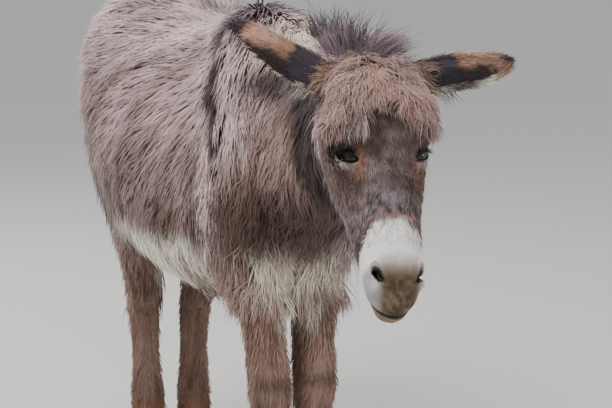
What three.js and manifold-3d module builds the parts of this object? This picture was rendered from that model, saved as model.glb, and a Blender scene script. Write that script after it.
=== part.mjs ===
// A shaggy grey-dun donkey, life size, standing with its head lowered and its ears held out sideways.
// Units are millimetres. The donkey faces -Y, its left side is +X, and +Z is up from the floor.
//
// The body is one smooth field: each limb is a line of oval stations, the limbs melt into each other,
// and the field is zero at the tips of the coat. Each named piece is the stretch of that surface between
// plane cuts, meshed on its own grid. Ears, hooves, tail, mane and eyes are lofted or turned by themselves.

import * as THREE from "three";
import { mergeVertices } from "three/addons/utils/BufferGeometryUtils.js";
import Module from "manifold-3d";

const wasm = await Module();
wasm.setup();

// ---------------------------------------------------------------- driving dimensions

const WITHERS = 1100; // height of the coat at the withers
const CROUP = 1154; // height of the coat over the hips
const GAP = 0.3; // clearance between neighbouring pieces
const HALF_GAP = GAP / 2;

const LEG_TOP = 600; // height at which a leg's stride has faded out
const FORE_STRIDE = { 1: 0, [-1]: 46 }; // how far the left and the right forefoot stand ahead
const HIND_STRIDE = { 1: -6, [-1]: 30 };
const FORE_INWARD = { 1: 0, [-1]: 20 }; // how far a foot stands nearer the middle than the leg's rows
const HIND_INWARD = { 1: 16, [-1]: 0 };

const POLL = [-14, -556, 1014]; // top of the head, between the ears
const HEAD_PITCH = 59; // degrees that the face slopes below the horizontal
const HEAD_YAW = -13; // degrees that the face turns, here towards the donkey's right
const HEAD_LENGTH = 500; // from the poll to the upper lip

// How far the middles of the nose and of the eyes stand to the left of the head's own middle plane.
const NOSE_OFF = 6;
const EYES_OFF = 2;

const EYE_RADIUS = 20;
const EYE_AT = [57.5, 188, 3]; // in the head's own frame: sideways, down the face, out of the face
const EYE_SIDES = [12, 8];
const LIDS_AT = [70.5, 189, 20]; // middle of the hollow between the lids
const LIDS_SIZE = [27, 15, 16]; // along the lids, across them, and into the head
const LIDS_OUT = [0.7, 0.05, 0.71]; // the way that the eye looks
const LIDS_SLOPE = 38; // degrees that the lids' inner corner lies down the face

const NOSTRIL_AT = [40, 424, 15]; // middle of the nostril's pit
const NOSTRIL_SIZE = [9, 19, 9];

const EAR_LENGTH = 245;
const EAR_THICKNESS = 7;
const EAR_JOINT = 0.17; // share of the length at which an ear leaves the head
// Each ear is a cupped blade from its root to its tip, given in the head's frame, for the left and then the
// right. Opening is the way that its hollow faces, twist turns the hollow towards the tip, in degrees, and
// curl bends the blade away from its hollow, as a share of its length.
const EARS = {
  1: { root: [62, 14, -38], way: [0.925, -0.27, -0.24], opening: [0.1, 0.3, -0.9], twist: 70, curl: -0.04 },
  [-1]: { root: [-62, 26, -38], way: [-0.75, -0.62, -0.2], opening: [0.1, 0.3, -0.9], twist: 0, curl: 0.05 },
};

const HOOF_HEIGHT = 58; // at the toe
const HOOF_HEEL = 38;
const HOOF_SIDES = 14;

const COAT = "#8c7b72";
const COAT_DARK = "#4a3a34";
const COAT_LEG = "#6f5a4e";
const MUZZLE_GREY = "#b9b2aa";
const HORN = "#38322e";
const EYE_BROWN = "#1c120d";

// ---------------------------------------------------------------- small helpers

const AXIS_X = new THREE.Vector3(1, 0, 0);
const radians = THREE.MathUtils.degToRad;
const lerp = THREE.MathUtils.lerp;

// Joins two fields and rounds the joint off over a width of k.
function smoothMin(a, b, k) {
  const h = Math.max(k - Math.abs(a - b), 0) / k;
  return Math.min(a, b) - (h * h * k) / 4;
}

// Runs a smooth curve through rows of numbers and returns it as finer rows.
function refined(rows, steps) {
  const out = [];
  for (let i = 0; i < rows.length - 1; i++) {
    const [p0, p1, p2, p3] = [-1, 0, 1, 2].map(
      (k) => rows[Math.min(Math.max(i + k, 0), rows.length - 1)],
    );
    for (let j = 0; j < steps; j++) {
      const t = j / steps;
      out.push(
        p1.map((v, c) => {
          const slope = (p2[c] - p0[c]) / 2;
          const next = (p3[c] - v) / 2;
          const rise = p2[c] - v;
          return v + slope * t + (3 * rise - 2 * slope - next) * t * t + (slope + next - 2 * rise) * t ** 3;
        }),
      );
    }
  }
  out.push(rows.at(-1));
  return out;
}

// ---------------------------------------------------------------- limbs of the field

const FAR = 120; // beyond this distance from a limb's box, the box stands for the limb
const CURVE_STEPS = 4;
const BEND_CAP = 0.3; // how far a span inside a limb bulges past its ends, as a share of its half width

// A limb from rows of [x, y, z, half width, half depth, egg]. Width runs along X, depth across the limb,
// and egg narrows the limb towards its upper or back side. Both ends are rounded by a share of the half
// width, endCap.
function limb(rows, endCap = 1) {
  const fine = refined(rows, CURVE_STEPS);
  const low = [Infinity, Infinity, Infinity];
  const high = [-Infinity, -Infinity, -Infinity];
  for (const [x, y, z, w, d] of fine) {
    const reach = Math.max(w, d);
    [x, y, z].forEach((v, k) => {
      low[k] = Math.min(low[k], v - reach);
      high[k] = Math.max(high[k], v + reach);
    });
  }
  const spans = fine.slice(1).map((b, i) => {
    const a = fine[i];
    const along = new THREE.Vector3(b[0] - a[0], b[1] - a[1], b[2] - a[2]);
    const length = along.length();
    along.normalize();
    const up = new THREE.Vector3().crossVectors(AXIS_X, along).normalize();
    const side = new THREE.Vector3().crossVectors(along, up);
    const last = i === 0 || i === fine.length - 2;
    return { a, b, along, length, up, side, cap: last ? endCap : BEND_CAP };
  });
  return (x, y, z) => {
    const outside = Math.hypot(
      Math.max(low[0] - x, 0, x - high[0]),
      Math.max(low[1] - y, 0, y - high[1]),
      Math.max(low[2] - z, 0, z - high[2]),
    );
    if (outside > FAR) return outside;
    let best = Infinity;
    for (const { a, b, along, length, up, side, cap } of spans) {
      const px = x - a[0];
      const py = y - a[1];
      const pz = z - a[2];
      const run = px * along.x + py * along.y + pz * along.z;
      const t = Math.min(Math.max(run / length, 0), 1);
      const past = (run - t * length) / cap;
      const u = px * side.x + py * side.y + pz * side.z;
      const v = px * up.x + py * up.y + pz * up.z;
      const w = lerp(a[3], b[3], t);
      const d = lerp(a[4], b[4], t);
      const egg = lerp(a[5] ?? 0, b[5] ?? 0, t);
      const high = Math.min(Math.max(v / d, -1), 1);
      const round = Math.hypot(u / (w * (1 - egg * high)), v / d, past / Math.min(w, d));
      const size = Math.hypot(u, v, past * cap);
      const value = round > 1e-3 ? size - size / round : -Math.min(w, d);
      best = Math.min(best, value);
    }
    return best;
  };
}

// A station of the trunk, neck or head from its upper and lower outline: the outline's two heights
// become a centre and a half depth.
const outlined = (x, y, top, bottom, halfWidth, egg = 0) => [
  x,
  y,
  (top + bottom) / 2,
  halfWidth,
  (top - bottom) / 2,
  egg,
];

// ---------------------------------------------------------------- trunk and neck

const trunk = limb(
  [
    outlined(0, -204, 886, 612, 90),
    outlined(0, -166, 965, 572, 114, 0.1),
    outlined(0, -90, 1040, 530, 134, 0.2),
    outlined(0, 10, WITHERS, 500, 160, 0.3),
    outlined(0, 130, 1088, 482, 194, 0.22),
    outlined(0, 270, 1074, 470, 226, 0.12),
    outlined(0, 400, 1082, 476, 238, 0.06),
    outlined(0, 520, 1116, 508, 231, -0.02),
    outlined(0, 620, CROUP, 574, 224, -0.08),
    outlined(0, 700, CROUP - 6, 634, 212, -0.14),
    outlined(0, 748, 1120, 676, 190, -0.15),
    outlined(0, 784, 1076, 718, 156, -0.1),
  ],
  0.6,
);

const neck = limb([
  outlined(-12, -520, 1016, 836, 66, 0.1),
  outlined(-10, -430, 1040, 794, 74, 0.2),
  outlined(-6, -320, 1056, 738, 84, 0.25),
  outlined(-2, -200, 1066, 676, 96, 0.3),
  outlined(0, -80, 1080, 640, 112, 0.3),
  outlined(0, 60, 1086, 640, 124, 0.3),
]);

const dock = limb([
  [0, 780, 1030, 40, 40],
  [0, 850, 1006, 34, 30],
]);

// ---------------------------------------------------------------- legs

// Each leg is drawn for the donkey's left and mirrored for its right, and its foot stands ahead of the
// drawn place by a stride that fades out up the leg.
const leg = (side, [rows, strides, inwards]) =>
  limb(
    rows.map(([x, y, z, w, d]) => {
      const share = Math.max(1 - z / LEG_TOP, 0);
      return [side * (x - inwards[side] * share), y - strides[side] * share, z, w, d];
    }),
  );

const FORE_ROWS = [
  [88, -10, 760, 58, 112],
  [86, -52, 680, 60, 106],
  [68, -50, 590, 54, 92],
  [62, -58, 500, 50, 70],
  [59, -68, 400, 46, 56],
  [58, -76, 318, 50, 54],
  [57, -68, 255, 42, 45],
  [57, -62, 195, 39, 43],
  [59, -66, 128, 46, 50],
  [61, -82, 78, 40, 43],
  [62, -92, 40, 42, 46],
  [63, -98, -20, 42, 46],
];

const shoulder = (side) =>
  limb([
    [side * 62, 50, 1010, 54, 100],
    [side * 92, -20, 900, 60, 118],
    [side * 98, -92, 780, 60, 108],
    [side * 88, -126, 700, 54, 82],
  ]);

const HIND_ROWS = [
  [94, 672, 900, 80, 148],
  [96, 676, 790, 80, 164],
  [98, 652, 690, 78, 148],
  [96, 634, 600, 70, 112],
  [84, 656, 500, 56, 72],
  [72, 694, 405, 44, 60],
  [68, 704, 335, 38, 46],
  [67, 700, 245, 35, 41],
  [67, 692, 142, 43, 49],
  [68, 676, 82, 38, 41],
  [69, 668, 40, 41, 45],
  [70, 660, -20, 41, 45],
];

// ---------------------------------------------------------------- head, in its own frame

// The head's frame stands at the poll: x is sideways, y runs down the face, z comes out of the face.
const HEAD_FRAME = new THREE.Matrix4()
  .makeTranslation(...POLL)
  .multiply(new THREE.Matrix4().makeRotationZ(radians(HEAD_YAW)))
  .multiply(
    new THREE.Matrix4().makeBasis(
      AXIS_X,
      new THREE.Vector3(0, -Math.cos(radians(HEAD_PITCH)), -Math.sin(radians(HEAD_PITCH))),
      new THREE.Vector3(0, -Math.sin(radians(HEAD_PITCH)), Math.cos(radians(HEAD_PITCH))),
    ),
  );
const INTO_HEAD = HEAD_FRAME.clone().invert();

const face = limb([
  outlined(0, 0, 8, -120, 60),
  outlined(0, 40, 40, -140, 80),
  outlined(0, 90, 56, -150, 96, -0.04),
  outlined(-3, 140, 56, -140, 93, -0.02),
  outlined(-5, 185, 46, -124, 86),
  outlined(-5, 240, 38, -108, 78, 0.05),
  outlined(-3, 300, 32, -94, 69, 0.08),
  outlined(-1, 360, 30, -84, 60, 0.05),
  outlined(0, 408, 27, -80, 50),
  outlined(-1, 440, 16, -74, 39),
]);

const upperLip = limb([
  outlined(-1, 430, 16, -62, 37),
  outlined(-2, 466, -2, -58, 28),
]);

const jaw = limb([
  outlined(0, 70, -60, -150, 60),
  outlined(0, 120, -70, -186, 62),
  outlined(0, 180, -70, -184, 60),
  outlined(0, 250, -60, -154, 52),
  outlined(0, 330, -50, -120, 42),
  outlined(0, 400, -46, -106, 36),
  outlined(0, 434, -48, -106, 33),
  outlined(0, 456, -52, -92, 25),
]);

// The mop of long hair over the forehead ends in a ledge above the eyes.
const forelock = limb([
  outlined(0, 10, 36, -20, 56),
  outlined(0, 70, 74, 0, 84),
  outlined(0, 120, 78, 10, 96),
  outlined(0, 152, 66, 18, 90),
]);

// The cheeks, nostrils, brows and ear roots come in pairs.
const cheek = (side) =>
  limb([
    [side * 48, 90, -96, 42, 52],
    [side * 52, 150, -104, 42, 62],
    [side * 46, 220, -84, 36, 46],
  ]);

const nostril = (side) =>
  limb([
    [side * 26, 392, 2, 21, 25],
    [side * 30, 424, -10, 20, 28],
    [side * 22, 450, -24, 16, 22],
  ]);

const brow = (side) =>
  limb([
    [side * 58 - 4, 128, 14, 34, 34],
    [side * 65 - 5, 164, 14, 28, 24],
    [side * 68 - 5, 196, -4, 23, 21],
  ]);

const earRoot = (side) => {
  const { root, way } = EARS[side];
  const at = (length) => root.map((v, k) => v + (way[k] / Math.hypot(...way)) * length);
  return limb([
    [...at(-20), 36, 36],
    [...at(EAR_JOINT * EAR_LENGTH), 35, 35],
  ]);
};

const headLimbs = [
  [face, 1],
  [upperLip, 24],
  [jaw, 40],
  [forelock, 14],
  ...[1, -1].flatMap((side) => [
    [cheek(side), 34],
    [nostril(side), 18],
    [brow(side), 26],
    [earRoot(side), 22],
  ]),
];

function headField(x, y, z) {
  let value = Infinity;
  for (const [part, blend] of headLimbs) value = smoothMin(value, part(x, y, z), blend);
  return value;
}

// ---------------------------------------------------------------- the whole body

const coreLimbs = [
  [trunk, 1],
  [neck, 90],
  [dock, 40],
  [shoulder(1), 50],
  [shoulder(-1), 50],
];
const LEG_BLEND = 55;
const FORELEG = [FORE_ROWS, FORE_STRIDE, FORE_INWARD];
const HIND_LEG = [HIND_ROWS, HIND_STRIDE, HIND_INWARD];
const legs = [1, -1].flatMap((side) => [leg(side, FORELEG), leg(side, HIND_LEG)]);

const HEAD_BLEND = 50;
const HEAD_REACH = 260; // how far behind the poll the head can touch the body
const point = new THREE.Vector3();

function body(x, y, z) {
  let core = Infinity;
  for (const [part, blend] of coreLimbs) core = smoothMin(core, part(x, y, z), blend);
  // Each leg melts into the body but not into its neighbour.
  const value = Math.min(...legs.map((part) => smoothMin(core, part(x, y, z), LEG_BLEND)));
  if (y > POLL[1] + HEAD_REACH) return value;
  point.set(x, y, z).applyMatrix4(INTO_HEAD);
  return smoothMin(value, headField(point.x, point.y, point.z), HEAD_BLEND);
}

// ---------------------------------------------------------------- from the field to closed meshes

// The eight corners of a cell, and its twelve edges as pairs of corners.
const CORNERS = [0, 1, 2, 3, 4, 5, 6, 7].map((i) => [i & 1, (i >> 1) & 1, (i >> 2) & 1]);
const EDGES = [];
for (let a = 0; a < 8; a++)
  for (const bit of [1, 2, 4]) if (!(a & bit)) EDGES.push([a, a | bit]);

// The two diagonals of each face of a cell, and the four diagonals of the cell itself.
const FACES = [1, 2, 4].flatMap((bit) => {
  const [b, d] = [1, 2, 4].filter((other) => other !== bit);
  return [0, bit].map((base) => [base, base | b | d, base | b, base | d]);
});
const OPPOSITES = [0, 1, 2, 3].map((a) => [a, 7 - a]);

// Tells where the surface would pass through a cell twice: two corners of one sign that only touch
// across a face or across the cell. Returns those two corners, or nothing.
function pinch(v) {
  for (const [a, b, c, d] of FACES)
    if (v[a] < 0 === v[b] < 0 && v[c] < 0 === v[d] < 0 && v[a] < 0 !== v[c] < 0) return [a, b, c, d];
  for (const pair of OPPOSITES)
    for (const lone of pair)
      if (EDGES.every(([a, b]) => (a !== lone && b !== lone) || v[a] < 0 !== v[b] < 0)) {
        const same = v.filter((value) => value < 0 === v[lone] < 0).length;
        if (same > 1) return [lone];
      }
}

const NUDGE = 0.5; // step over which the field's slope is measured
const SLIDE_SHARE = 0.25; // longest slide of a vertex, as a share of its cell

// Slides a point along the field's slope towards the surface, twice, each time no farther than a reach.
function slide(p, reach, sample) {
  for (let turn = 0; turn < 2; turn++) {
    const here = sample(...p);
    const slope = [0, 1, 2].map((c) => {
      const q = [...p];
      q[c] += NUDGE;
      return (sample(...q) - here) / NUDGE;
    });
    const steep = Math.hypot(...slope);
    const move = Math.min(Math.max(here / steep, -reach), reach) / steep;
    if (Math.abs(here) < 2 * reach) slope.forEach((g, c) => (p[c] -= move * g));
  }
}

// Meshes the body inside a box of some frame, with one vertex in each cell that the surface crosses and
// one quad round each grid edge that it crosses. The box's own sides close the mesh.
function surface(frame, low, high, cell) {
  const count = low.map((v, k) => Math.ceil((high[k] - v) / cell[k]) + 1);
  const step = low.map((v, k) => (high[k] - v) / (count[k] - 1));
  const index = (i, j, k) => (k * count[1] + j) * count[0] + i;
  const at = new THREE.Vector3();
  const sample = (x, y, z) => {
    at.set(x, y, z).applyMatrix4(frame);
    return body(at.x, at.y, at.z);
  };
  const values = new Float32Array(count[0] * count[1] * count[2]);
  for (let k = 0; k < count[2]; k++)
    for (let j = 0; j < count[1]; j++)
      for (let i = 0; i < count[0]; i++) {
        const edge = [i, j, k].some((v, c) => v === 0 || v === count[c] - 1);
        const value = sample(low[0] + i * step[0], low[1] + j * step[1], low[2] + k * step[2]);
        values[index(i, j, k)] = edge ? Math.max(value, step[0] / 2) : value;
      }
  const corners = (i, j, k) => CORNERS.map(([a, b, c]) => index(i + a, j + b, k + c));
  // Turns the weakest corner of each pinched cell to the other sign, until none is pinched.
  for (let changed = true; changed; ) {
    changed = false;
    for (let k = 0; k < count[2] - 1; k++)
      for (let j = 0; j < count[1] - 1; j++)
        for (let i = 0; i < count[0] - 1; i++) {
          const at8 = corners(i, j, k);
          const found = pinch(at8.map((n) => values[n]));
          if (!found) continue;
          const weakest = found.map((c) => at8[c]).sort((a, b) => Math.abs(values[a]) - Math.abs(values[b]))[0];
          values[weakest] *= -1;
          changed = true;
        }
  }
  const positions = [];
  const vertexOf = new Map();
  for (let k = 0; k < count[2] - 1; k++)
    for (let j = 0; j < count[1] - 1; j++)
      for (let i = 0; i < count[0] - 1; i++) {
        const v = corners(i, j, k).map((n) => values[n]);
        const sum = [0, 0, 0];
        let crossed = 0;
        for (const [a, b] of EDGES) {
          if (v[a] < 0 === v[b] < 0) continue;
          const t = v[a] / (v[a] - v[b]);
          for (let c = 0; c < 3; c++) sum[c] += lerp(CORNERS[a][c], CORNERS[b][c], t);
          crossed++;
        }
        if (!crossed) continue;
        const p = [i, j, k].map((v0, c) => low[c] + (v0 + sum[c] / crossed) * step[c]);
        slide(p, step[0] * SLIDE_SHARE, sample);
        vertexOf.set(index(i, j, k), positions.length / 3);
        positions.push(...p);
      }
  const indices = [];
  const offset = [1, count[0], count[0] * count[1]];
  for (let k = 0; k < count[2] - 1; k++)
    for (let j = 0; j < count[1] - 1; j++)
      for (let i = 0; i < count[0] - 1; i++) {
        const here = index(i, j, k);
        for (let c = 0; c < 3; c++) {
          if ([i, j, k].some((v, other) => other !== c && v === 0)) continue;
          if (values[here] < 0 === values[here + offset[c]] < 0) continue;
          const [b, d] = [offset[(c + 1) % 3], offset[(c + 2) % 3]];
          const ring = [here - b - d, here - d, here, here - b].map((n) => vertexOf.get(n));
          if (values[here] >= 0) ring.reverse();
          indices.push(ring[0], ring[1], ring[2], ring[0], ring[2], ring[3]);
        }
      }
  return new THREE.BufferGeometry()
    .setAttribute("position", new THREE.Float32BufferAttribute(positions, 3))
    .setIndex(indices);
}

// Skins a row of closed rings of points, with a fan at each end.
function lofted(rings) {
  const sides = rings[0].length;
  const positions = rings.flat().flatMap((p) => [p.x, p.y, p.z]);
  const indices = [];
  for (let r = 0; r < rings.length - 1; r++)
    for (let s = 0; s < sides; s++) {
      const [a, b] = [r * sides + s, r * sides + ((s + 1) % sides)];
      indices.push(a, b, b + sides, a, b + sides, a + sides);
    }
  for (const [ring, first, turned] of [
    [rings[0], 0, true],
    [rings.at(-1), (rings.length - 1) * sides, false],
  ]) {
    const middle = positions.length / 3;
    const centre = new THREE.Vector3();
    for (const p of ring) centre.addScaledVector(p, 1 / sides);
    positions.push(centre.x, centre.y, centre.z);
    for (let s = 0; s < sides; s++) {
      const [a, b] = [first + s, first + ((s + 1) % sides)];
      indices.push(...(turned ? [b, a, middle] : [a, b, middle]));
    }
  }
  return new THREE.BufferGeometry()
    .setAttribute("position", new THREE.Float32BufferAttribute(positions, 3))
    .setIndex(indices);
}

// ---------------------------------------------------------------- cutting with manifold-3d

function solidOf(geometry, frame = new THREE.Matrix4()) {
  const bare = geometry.clone();
  for (const name of ["normal", "uv"]) bare.deleteAttribute(name);
  bare.applyMatrix4(frame);
  const merged = mergeVertices(bare, 1e-3);
  const made = new wasm.Manifold(
    new wasm.Mesh({
      numProp: 3,
      vertProperties: new Float32Array(merged.attributes.position.array),
      triVerts: new Uint32Array(merged.index.array),
    }),
  );
  if (made.volume() > 0) return made;
  for (let i = 0; i < merged.index.count; i += 3) {
    const [a, b] = [merged.index.getX(i), merged.index.getX(i + 1)];
    merged.index.setX(i, b);
    merged.index.setX(i + 1, a);
  }
  return new wasm.Manifold(
    new wasm.Mesh({
      numProp: 3,
      vertProperties: new Float32Array(merged.attributes.position.array),
      triVerts: new Uint32Array(merged.index.array),
    }),
  );
}

// Keeps the largest piece of a solid that a cut has left in several.
function largest(solid) {
  return solid.decompose().sort((a, b) => b.volume() - a.volume())[0];
}

function geometryOf(solid) {
  const mesh = solid.getMesh();
  const positions = new Float32Array(mesh.numVert * 3);
  for (let i = 0; i < mesh.numVert; i++)
    positions.set(mesh.vertProperties.subarray(i * mesh.numProp, i * mesh.numProp + 3), i * 3);
  return new THREE.BufferGeometry()
    .setAttribute("position", new THREE.BufferAttribute(positions, 3))
    .setIndex(new THREE.BufferAttribute(mesh.triVerts, 1));
}

const HUGE = 3000;

// The half space behind a plane, as a large box. The plane passes through a point, its normal points out
// of the half space, and grow moves it along the normal.
function behind(through, normal, grow = 0) {
  const n = new THREE.Vector3(...normal).normalize();
  const turn = new THREE.Quaternion().setFromUnitVectors(new THREE.Vector3(0, 0, 1), n);
  const centre = new THREE.Vector3(...through).addScaledVector(n, grow - HUGE / 2);
  const frame = new THREE.Matrix4().compose(centre, turn, new THREE.Vector3(1, 1, 1));
  return solidOf(new THREE.BoxGeometry(HUGE, HUGE, HUGE), frame);
}

// ---------------------------------------------------------------- the cuts between named pieces

const inHead = (x, y, z) => new THREE.Vector3(x, y, z).applyMatrix4(HEAD_FRAME).toArray();
const headWay = (x, y, z) => new THREE.Vector3(x, y, z).transformDirection(HEAD_FRAME).toArray();

// Each cut is a point on its plane and the plane's normal, which points to the second piece named.
const NECK_BASE = [[0, -160, 880], [0, -0.9, 0.42]]; // trunk to neck
const THROAT = [inHead(0, 60, -150), headWay(0, 0.62, 1)]; // neck to head
const MUZZLE = [inHead(0, 318, 0), headWay(0, 1, 0)]; // head to muzzle
const MOUTH = [inHead(0, 395, -66), headWay(0, 0.1, -1)]; // muzzle to lower jaw
const KNEE = [[0, 0, 296], [0, 0, -1]]; // upper to lower foreleg
const HOCK = [[0, 700, 366], [0, 0.2, -1]]; // upper to lower hind leg
const ARMPIT = [[0, 70, 540], [0, -1, -0.25]]; // trunk to foreleg, behind the elbow
const FLANK = [[0, 470, 560], [0, 1, 0.34]]; // trunk to hind leg, before the stifle
const elbow = (side) => [[0, 0, 486], [side * 0.52, 0, -1]]; // trunk to foreleg
const groin = (side) => [[0, 560, 560], [side * 0.72, 0.3, -1]]; // trunk to hind leg
const middle = (side) => [[0, 0, 0], [side, 0, 0]]; // keeps the legs of a pair apart

// The room that a round limb needs where it leaves the body: a cylinder of some reach beyond its cut.
function roomFor([through, normal], reach, length) {
  const along = new THREE.Vector3(...normal).normalize();
  const cylinder = solidOf(
    new THREE.CylinderGeometry(reach, reach, 2 * length, 16),
    new THREE.Matrix4().compose(
      new THREE.Vector3(...through),
      new THREE.Quaternion().setFromUnitVectors(new THREE.Vector3(0, 1, 0), along),
      new THREE.Vector3(1, 1, 1),
    ),
  );
  return cylinder.intersect(beyond([through, normal], HALF_GAP));
}

const before = ([through, normal], grow = -HALF_GAP) => behind(through, normal, grow);
const beyond = ([through, normal], grow = -HALF_GAP) =>
  behind(through, normal.map((v) => -v), grow);

// The region that several cuts leave, each half a gap away from its plane.
const within = (...halves) => halves.reduce((region, half) => region.intersect(half));

// ---------------------------------------------------------------- the pieces

const donkey = new THREE.Group();

function add(name, solid, color, roughness = 0.9) {
  const material = new THREE.MeshStandardMaterial({ color, roughness, metalness: 0 });
  const mesh = new THREE.Mesh(geometryOf(largest(solid)), material);
  mesh.name = name;
  donkey.add(mesh);
}

const WORLD = new THREE.Matrix4();

const meshed = (low, high, cell, frame = WORLD) => solidOf(surface(frame, low, high, cell), frame);

// A box on one side of the middle plane, from its inner face to its outer face.
const sided = (side, [inner, y0, z0], [outer, y1, z1]) =>
  side > 0
    ? [[inner, y0, z0], [outer, y1, z1]]
    : [[-outer, y0, z0], [-inner, y1, z1]];

const ball = (at, size, frame = HEAD_FRAME) =>
  solidOf(
    new THREE.SphereGeometry(1, ...EYE_SIDES),
    frame
      .clone()
      .multiply(new THREE.Matrix4().makeTranslation(...at))
      .multiply(new THREE.Matrix4().makeScale(...size)),
  );

// A place on one half of the face, from how far it stands off the face's middle.
const onSide = (side, [x, y, z], middle) => [side * x + middle, y, z];

// The hollow between an eye's lids: an almond turned to look outwards, whose inner corner lies lower.
function lids(side) {
  const out = new THREE.Vector3(side * LIDS_OUT[0], LIDS_OUT[1], LIDS_OUT[2]).normalize();
  const down = new THREE.Vector3(0, 1, 0).addScaledVector(out, -out.y).normalize();
  const inward = new THREE.Vector3().crossVectors(down, out).multiplyScalar(-side);
  const slope = radians(LIDS_SLOPE);
  const along = inward.clone().multiplyScalar(Math.cos(slope)).addScaledVector(down, Math.sin(slope));
  const across = new THREE.Vector3().crossVectors(out, along);
  const frame = HEAD_FRAME.clone()
    .multiply(new THREE.Matrix4().makeTranslation(...onSide(side, LIDS_AT, EYES_OFF)))
    .multiply(new THREE.Matrix4().makeBasis(along, across, out));
  return ball([0, 0, 0], LIDS_SIZE, frame);
}

// Oval rings square to a path of [x, y, z, half width, half depth], skinned into one body.
function tube(rows, sides) {
  const centres = rows.map(([x, y, z]) => new THREE.Vector3(x, y, z));
  return solidOf(
    lofted(
      rows.map(([, , , w, d], i) => {
        const along = centres[Math.min(i + 1, rows.length - 1)].clone().sub(centres[Math.max(i - 1, 0)]);
        const up = new THREE.Vector3().crossVectors(AXIS_X, along).normalize();
        return Array.from({ length: sides }, (_, k) => {
          const turn = (2 * Math.PI * k) / sides;
          return centres[i]
            .clone()
            .addScaledVector(AXIS_X, w * Math.cos(turn))
            .addScaledVector(up, d * Math.sin(turn));
        });
      }),
    ),
  );
}

// ---------------------------------------------------------------- legs and hooves

const LEG_SIDES = 12;
const LEG_REACH = 90; // farthest that a lower leg's surface lies from its centre line

// Skins a lower leg with level rings. Each ring's points lie where the body's surface is first met on the
// way out from the leg's centre [x, y, z].
function shin(centres) {
  const rings = centres.map(([x, y, z]) =>
    Array.from({ length: LEG_SIDES }, (_, i) => {
      const turn = (2 * Math.PI * i) / LEG_SIDES;
      const [dx, dy] = [Math.cos(turn), Math.sin(turn)];
      let [inside, outside] = [0, 0];
      while (outside < LEG_REACH && body(x + dx * outside, y + dy * outside, z) < 0) outside += 4;
      inside = outside - 4;
      while (outside - inside > 0.05) {
        const r = (inside + outside) / 2;
        if (body(x + dx * r, y + dy * r, z) < 0) inside = r;
        else outside = r;
      }
      return new THREE.Vector3(x + dx * inside, y + dy * inside, z);
    }),
  );
  return solidOf(lofted(rings));
}

// A hoof is an oval at the floor, narrowing to the coronet, which slopes down from the toe to the heel.
const HOOF_SOLE = [42, 50];
const HOOF_TOP = [38, 42];
const HOOF_LEAN = 18; // how far the coronet stands behind the sole
const HOOF_BEVEL = 3;

const ovalRing = ([x, y], [w, d], heightAt) =>
  Array.from({ length: HOOF_SIDES }, (_, i) => {
    const turn = (2 * Math.PI * i) / HOOF_SIDES;
    return new THREE.Vector3(x + w * Math.cos(turn), y + d * Math.sin(turn), heightAt(-Math.sin(turn)));
  });

function hoof(x, y) {
  const coronet = (forward) => lerp(HOOF_HEEL, HOOF_HEIGHT, (forward + 1) / 2) - HALF_GAP;
  return solidOf(
    lofted([
      ovalRing([x, y], HOOF_SOLE.map((v) => v - HOOF_BEVEL), () => 0),
      ovalRing([x, y], HOOF_SOLE, () => HOOF_BEVEL),
      ovalRing([x, y + HOOF_LEAN], HOOF_TOP, coronet),
    ]),
  );
}

const coronetCut = ([x, y]) => [
  [x, y + HOOF_LEAN, (HOOF_HEEL + HOOF_HEIGHT) / 2],
  [0, -(HOOF_HEIGHT - HOOF_HEEL) / (2 * HOOF_TOP[1]), -1],
];

// Where each foot's sole is centred.
const foreFoot = (side) => [side * (64 - FORE_INWARD[side]), -98 - FORE_STRIDE[side]];
const hindFoot = (side) => [side * (70 - HIND_INWARD[side]), 660 - HIND_STRIDE[side]];

const FORE_RINGS = [320, 272, 228, 186, 150, 124, 96, 66, 24];
const HIND_RINGS = [400, 350, 305, 250, 200, 164, 136, 104, 70, 24];

// The centre of a leg at some height, between its rows.
function centreAt([rows, strides, inwards], side, z) {
  const [stride, inward] = [strides[side], inwards[side]];
  const i = rows.findIndex((row) => row[2] <= z);
  const [a, b] = [rows[i - 1] ?? rows[i], rows[i] ?? rows.at(-1)];
  const t = a[2] === b[2] ? 0 : (a[2] - z) / (a[2] - b[2]);
  const share = Math.max(1 - z / LEG_TOP, 0);
  return [side * (lerp(a[0], b[0], t) - inward * share), lerp(a[1], b[1], t) - stride * share, z];
}

const NAMES = { 1: "left", [-1]: "right" };
const foreRegion = (side, grow) =>
  within(before(ARMPIT_BACK, grow), beyond(elbow(side), grow), beyond(middle(side), grow));
const hindRegion = (side, grow) =>
  within(beyond(FLANK, grow), beyond(groin(side), grow), beyond(middle(side), grow));
const ARMPIT_BACK = [ARMPIT[0], ARMPIT[1].map((v) => -v)];

for (const side of [1, -1]) {
  const name = NAMES[side];
  const forearm = meshed(...sided(side, [-12, -240, 250], [190, 120, 620]), [31, 36, 46]);
  add(`foreleg_upper_${name}`, within(forearm, foreRegion(side), before(KNEE)), COAT_LEG);
  const cannon = shin(FORE_RINGS.map((z) => centreAt(FORELEG, side, z)));
  const foreCoronet = before(coronetCut(foreFoot(side)));
  add(`foreleg_lower_${name}`, within(cannon, beyond(KNEE), foreCoronet, beyond(middle(side))), COAT_LEG);
  add(`hoof_fore_${name}`, hoof(...foreFoot(side)), HORN, 0.5);

  const thigh = meshed(...sided(side, [-14, 400, 300], [260, 930, 860]), [45, 50, 50]);
  add(`hind_leg_upper_${name}`, within(thigh, hindRegion(side), before(HOCK)), COAT_LEG);
  const shank = shin(HIND_RINGS.map((z) => centreAt(HIND_LEG, side, z)));
  const hindCoronet = before(coronetCut(hindFoot(side)));
  add(`hind_leg_lower_${name}`, within(shank, beyond(HOCK), hindCoronet, beyond(middle(side))), COAT_LEG);
  add(`hoof_hind_${name}`, hoof(...hindFoot(side)), HORN, 0.5);
}

// ---------------------------------------------------------------- trunk, neck, mane and tail

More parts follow.
